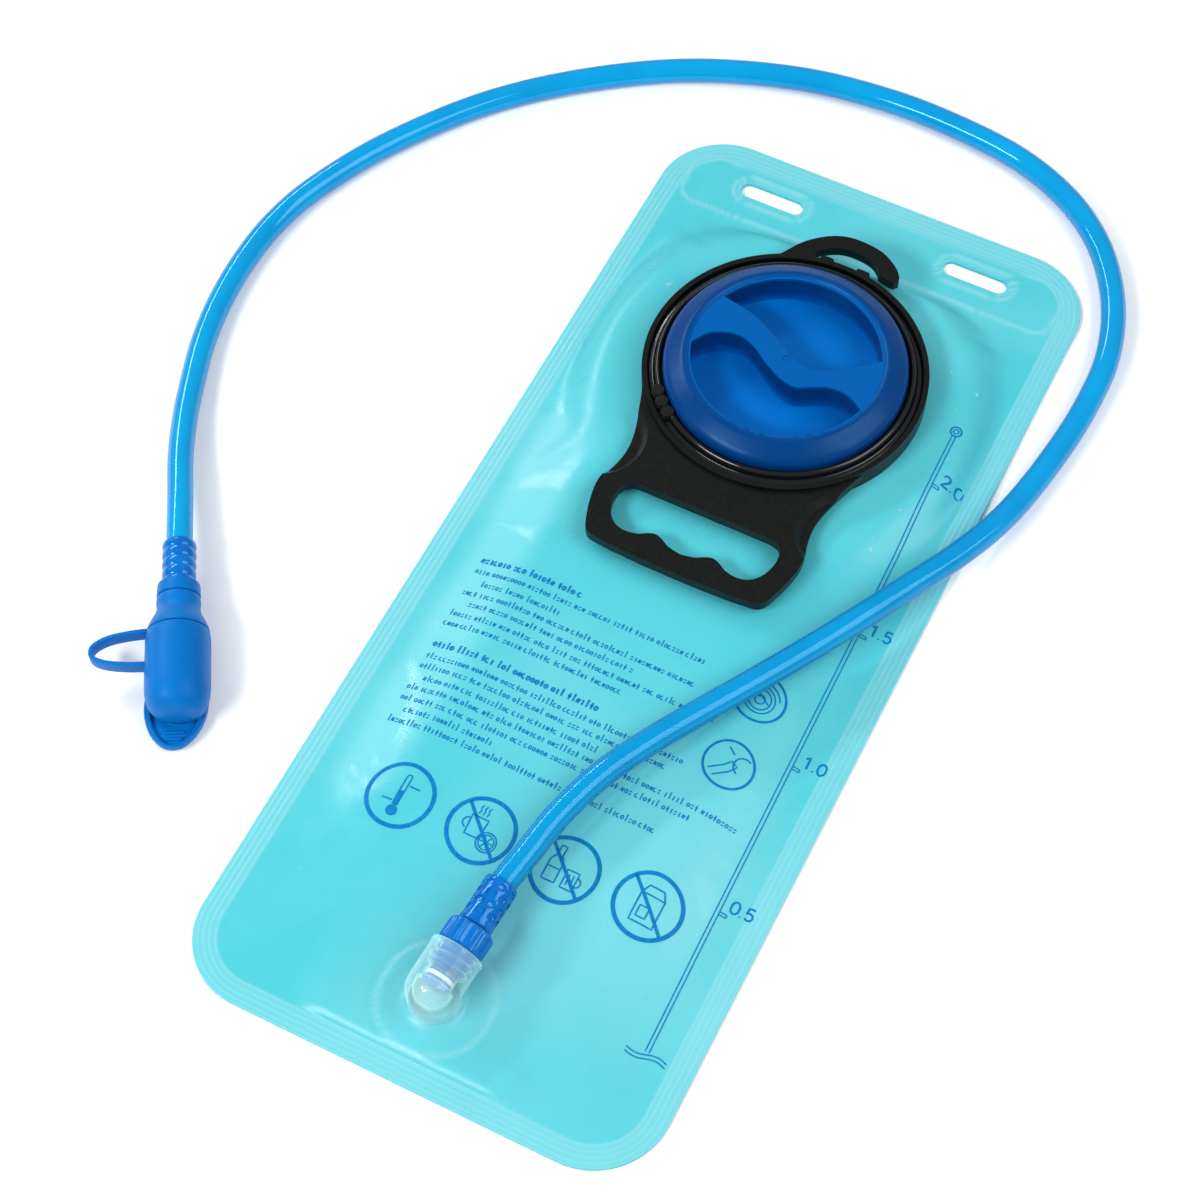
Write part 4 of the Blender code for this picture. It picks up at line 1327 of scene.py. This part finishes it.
def add_nut(finish):
    place = along(OUTLET, OUTLET_AXIS)
    profile = thread_rows(6.75, 7.8, 14.2, 0.5, NUT_PITCH)
    profile += [(6.6, 15.6), (7.3, 15.6), (7.7, 15.8), (7.95, 16.2, 0, 0.2), (8.0, 16.8, 0, 0.38),
                (8.0, 23.2, 0, 0.38), (7.95, 23.7, 0, 0.2), (7.6, 24.2), (7.2, 24.4), (4.5, 24.4), (4.5, 7.8)]
    nut = turned("connector_nut", profile, finish, place, 144, NUT_PITCH, 14)
    keep(nut, "nut", "fitting", "hose_nut")


def add_spigot(finish, seal):
    place = along(OUTLET, OUTLET_AXIS)
    profile = [(4.6, 0.4), (5.1, 0.9), (5.1, 2.9), (4.0, 2.9), (4.0, 5.3), (5.1, 5.3), (5.1, 6.2),
               (4.1, 6.6), (4.1, 25.5), (3.0, 26), (3.3, 29.5), (2.9, 29.6), (3.3, 33), (2.8, 34.2),
               (2.2, 34.2), (2.2, 0.4)]
    spigot = turned("connector_spigot", rounded(profile, 0.3), finish, place, 72)
    keep(spigot, "hose", "fitting", "hose_spigot")
    ring = [(4.8 + 0.45 * across, 4.1 + 0.8 * up) for across, up in circle(1.0, 16)]
    keep(turned("connector_seal", ring, seal, place, 72), "hose", "seal", "spigot_oring")


def add_hose_boot(finish):
    """The strain relief: a sleeve with rows of dimples down it."""
    place = along(OUTLET, OUTLET_AXIS)
    profile = [(6.3, 24.8), (6.3, 26.6), (6.15, 27.2), (6.1, 27.8), (6.15, 40), (6.1, 41.6), (5.8, 42.2),
               (5.4, 42.3), (5.3, 41.8), (5.3, 24.8)]
    boot = turned("strain_relief", profile, finish, place, 96)
    rows, columns = 4, 8
    for row in range(rows):
        for column in range(columns):
            angle = TURN * (column + 0.5 * (row % 2)) / columns
            outward = Vector((*polar(1.0, angle), 0))
            centre = Vector((*polar(6.35, angle), 29.4 + row * 3.4))
            spot = place @ along(centre, outward) @ Matrix.Rotation(math.pi / 2, 4, "Z")
            dimple = plate("cut", slot_outline(3.0, 2.0, 0, 0, 6), -0.75, 0.6, finish, spot)
            combine(boot, ("DIFFERENCE", dimple))
    bevel(boot, 0.15, 2, 50)
    keep(boot, "hose", "fitting", "hose_boot")


def hose_path():
    start = OUTLET + OUTLET_AXIS * HOSE_START
    inside_boot = OUTLET + OUTLET_AXIS * 36.5
    end = VALVE + VALVE_AXIS * HOSE_END
    return even_path(smooth_path([start, inside_boot, *HOSE_ROUTE, end], 10), 3.0)


def add_hose(finish):
    """The drinking hose: a hollow tube of its real wall."""
    path = hose_path()
    sides = 32
    outer = circle(HOSE_RADIUS, sides)
    inner = [(x * HOSE_BORE, y * HOSE_BORE) for x, y in outer]
    tube = sweep("drinking_hose", path, outer, finish, closed_ends=False)
    lining = sweep("lining", path, inner, finish, closed_ends=False)
    mesh = bmesh.new()
    mesh.from_mesh(tube.data)
    skin = len(mesh.verts)
    mesh.from_mesh(lining.data)
    mesh.verts.ensure_lookup_table()
    last = skin - sides
    for face in list(mesh.faces)[len(tube.data.polygons):]:
        face.normal_flip()
    for i, j in ring_edges(0, sides):
        for corners in ((i, j, skin + j, skin + i), (last + j, last + i, skin + last + i, skin + last + j)):
            mesh.faces.new([mesh.verts[corner] for corner in corners])
    bmesh.ops.recalc_face_normals(mesh, faces=mesh.faces)
    mesh.to_mesh(tube.data)
    mesh.free()
    bpy.data.objects.remove(lining)
    smooth(tube.data, 50)
    keep(tube, "hose", "hose", "hose_tube")
    return tube, path


# ---------------------------------------------------------------- the drinking valve


def valve_place():
    return along(VALVE, VALVE_AXIS)


def add_valve_boot(finish):
    profile = [(5.3, 3.4), (5.7, 3.4), (5.95, 3.9), (6.05, 4.6)]
    rings, length = 4, 4.0
    for ring in range(rings):
        for step in range(11):
            share = step / 10
            swell = 0.5 * abs(math.cos(math.pi * share)) ** 0.7
            profile.append((5.62 + swell, 4.6 + ring * length + length * share))
    profile += [(6.0, 20.6), (5.3, 20.6)]
    keep(turned("valve_strain_relief", profile, finish, valve_place(), 72), "hose", "fitting", "valve_boot")


def add_valve_collar(finish):
    profile = rounded([(7.6, 20.8), (7.85, 26.0), (3.4, 26.0), (3.4, 20.8)], 0.7)
    keep(turned("valve_sleeve", profile, finish, valve_place(), 96), "hose", "silicone", "valve_collar")


def add_valve_body(finish):
    bulge = [(7.7, 26.6), (7.9, 28.4), (7.75, 31), (8.4, 33.6), (9.7, 36.3), (10.7, 38.6), (11.1, 40.1)]
    profile = [(7.4, 26.3), *smooth_pairs(bulge, 5), (10.8, 40.4), (4.2, 40.4), (4.2, 56), (3.4, 56),
               (3.4, 26.3)]
    keep(turned("valve_bulb", profile, finish, valve_place(), 96), "hose", "silicone", "valve_body")


def add_valve_inside(fitting, seal, silicone):
    place = valve_place()
    barb = rounded([(2.7, 11.6), (3.0, 13), (3.0, 34), (1.9, 34), (1.9, 11.6)], 0.2)
    keep(turned("valve_insert", barb, fitting, place, 48), "hose", "fitting", "valve_barb")
    pin = [(0, 36), (1.0, 36.05), (1.2, 36.3), (1.2, 50), (3.0, 50), (3.0, 52), (1.2, 52), (1.2, 62.2),
           (0.9, 62.9), (0, 63.2)]
    keep(turned("valve_pin", pin, fitting, place, 32), "hose", "fitting", "shutoff_pin")
    ring = turned("valve_seal", circle(0.45, 14, 5.0, 48), seal, place, 56)
    keep(ring, "hose", "seal", "valve_oring")
    tip = [(7.8, 42.2), (8.2, 50), (7.6, 58), (6.2, 62.6), (3.5, 64), (1.6, 64), (1.6, 62), (4.8, 61.2),
           (5.8, 58.5), (5.8, 42.2)]
    tip = turned("bite_tip", rounded(tip, 1.0), silicone, place, 72)
    keep(tip, "mouthpiece", "silicone", "mouthpiece")


# half of the cover's pull tab: along the valve's axis, then across
TONGUE = [(60, 11), (66, 11.2), (71, 10.4), (75.5, 8.6), (79, 6.0), (81.3, 3.0), (82, 0)]


def lean(s, across):
    """The pull tab leans a little to the left of the valve's axis."""
    return s, across - 1.2 - 0.06 * (s - 60)


def add_cover(finish):
    place = valve_place()
    wall = [(11.3, 41.1), (11.55, 44), (11.6, 52), (11.6, 62), (11.3, 66), (10.2, 69.6), (8.1, 72.2),
            (5, 73.6)]
    outside = [(0, 40.8), (11.1, 40.8), *smooth_pairs(wall, 5), (2.5, 73.95), (0, 74)]
    cover = turned("valve_cover", outside, finish, place, 96)
    tab_frame = place @ Matrix.Rotation(math.radians(-90), 4, "Y")
    upper = smooth_pairs(TONGUE, 5)
    whole = [(x, -y) for x, y in upper] + list(reversed(upper[:-1]))
    outline = [lean(x, y) for x, y in whole]
    tab = plate("tab", outline, -9.6, -6.9, finish, tab_frame)
    dish = [lean(x * 0.93 + 4.5, y * 0.80) for x, y in whole if x > 64]
    hollow = plate("cut", dish, -8.6, -4, finish, tab_frame)
    combine(tab, ("DIFFERENCE", hollow))
    for s, width in ((75.6, 7.5), (78.2, 6.0)):
        outline = [lean(s + y, x) for x, y in slot_outline(width, 1.0, 0, 0, 6)][::-1]
        rib = plate("rib", outline, -9.0, -7.5, finish, tab_frame)
        combine(tab, ("UNION", rib))
    inside = [(0, 30), (10.4, 30), (10.4, 64), (9.6, 68), (6.5, 71.2), (0, 72.2)]
    room = turned("cut", inside, finish, place, 96)
    combine(cover, ("UNION", tab), ("DIFFERENCE", room))
    remesh(cover, 0.32, 3)
    keep(cover, "cover", "silicone", "dust_cover")


# the tether's middle line: along the valve's axis, then out from it
STRAP_LINE = [
    (39.9, 10.5), (39.9, 12.5), (40.4, 18), (41.8, 24.6), (44.8, 29.6), (48.6, 30.1), (51.2, 26),
    (52.6, 19), (53.0, 12.6), (53.0, 10.9),
]


def add_strap(finish):
    place = valve_place()
    path = even_path(smooth_path(STRAP_LINE, 8), 0.8)
    world = [(place @ (Vector((0, -p.y, p.x)) * MM)) / MM for p in path]
    half_wide, half_thick, corner = 2.75, 0.75, 0.35
    x, y = half_thick - corner, half_wide - corner
    section = []
    for across, up, start in ((x, y, 0), (-x, y, 90), (-x, -y, 180), (x, -y, 270)):
        section += [polar(corner, math.radians(start + 30 * step), across, up) for step in range(4)]
    strap = sweep("cover_tether", world, section, finish, up=Vector((0, 0, 1)))
    face_outward(strap)
    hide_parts("cover_strap")
    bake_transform(strap)


# ---------------------------------------------------------------- the scene


def main():
    add_camera()
    add_stage()
    fitting = fitting_finish()
    silicone = silicone_finish()
    seal = seal_finish()
    black = black_finish()
    gloss_black = gloss_black_finish()
    clear = clear_finish()

    hose, path = add_hose(hose_finish())
    pale_rim = (0.25, 0.62, 0.67)
    front = add_front(film_finish("front film", (0.095, 0.545, 0.62), (0.06, 0.50, 0.58), 0.84, pale_rim))
    back = add_back(film_finish("back film", (0.10, 0.56, 0.64), (0.07, 0.52, 0.60), 0.94))
    ink = ink_finish()
    add_scale(ink)
    add_small_print(ink)
    add_icons(ink)
    add_drops(drop_places(), droplet_finish())

    add_port_flange(film_finish("weld flange", (0.02, 0.36, 0.45), (0.01, 0.31, 0.40), 0.9))
    add_port_neck(black)
    add_retaining_ring(gloss_black)
    add_handle(black)
    add_cap(cap_finish(WELL_FLOOR, RIM_TOP_OF_CAP))
    add_gasket(seal)

    add_outlet(clear)
    add_nut(fitting)
    add_spigot(fitting, seal)
    add_hose_boot(fitting)
    add_valve_boot(fitting)
    add_valve_collar(silicone)
    add_valve_body(silicone)
    add_valve_inside(fitting, seal, silicone)
    add_cover(silicone)
    add_strap(silicone)


main()
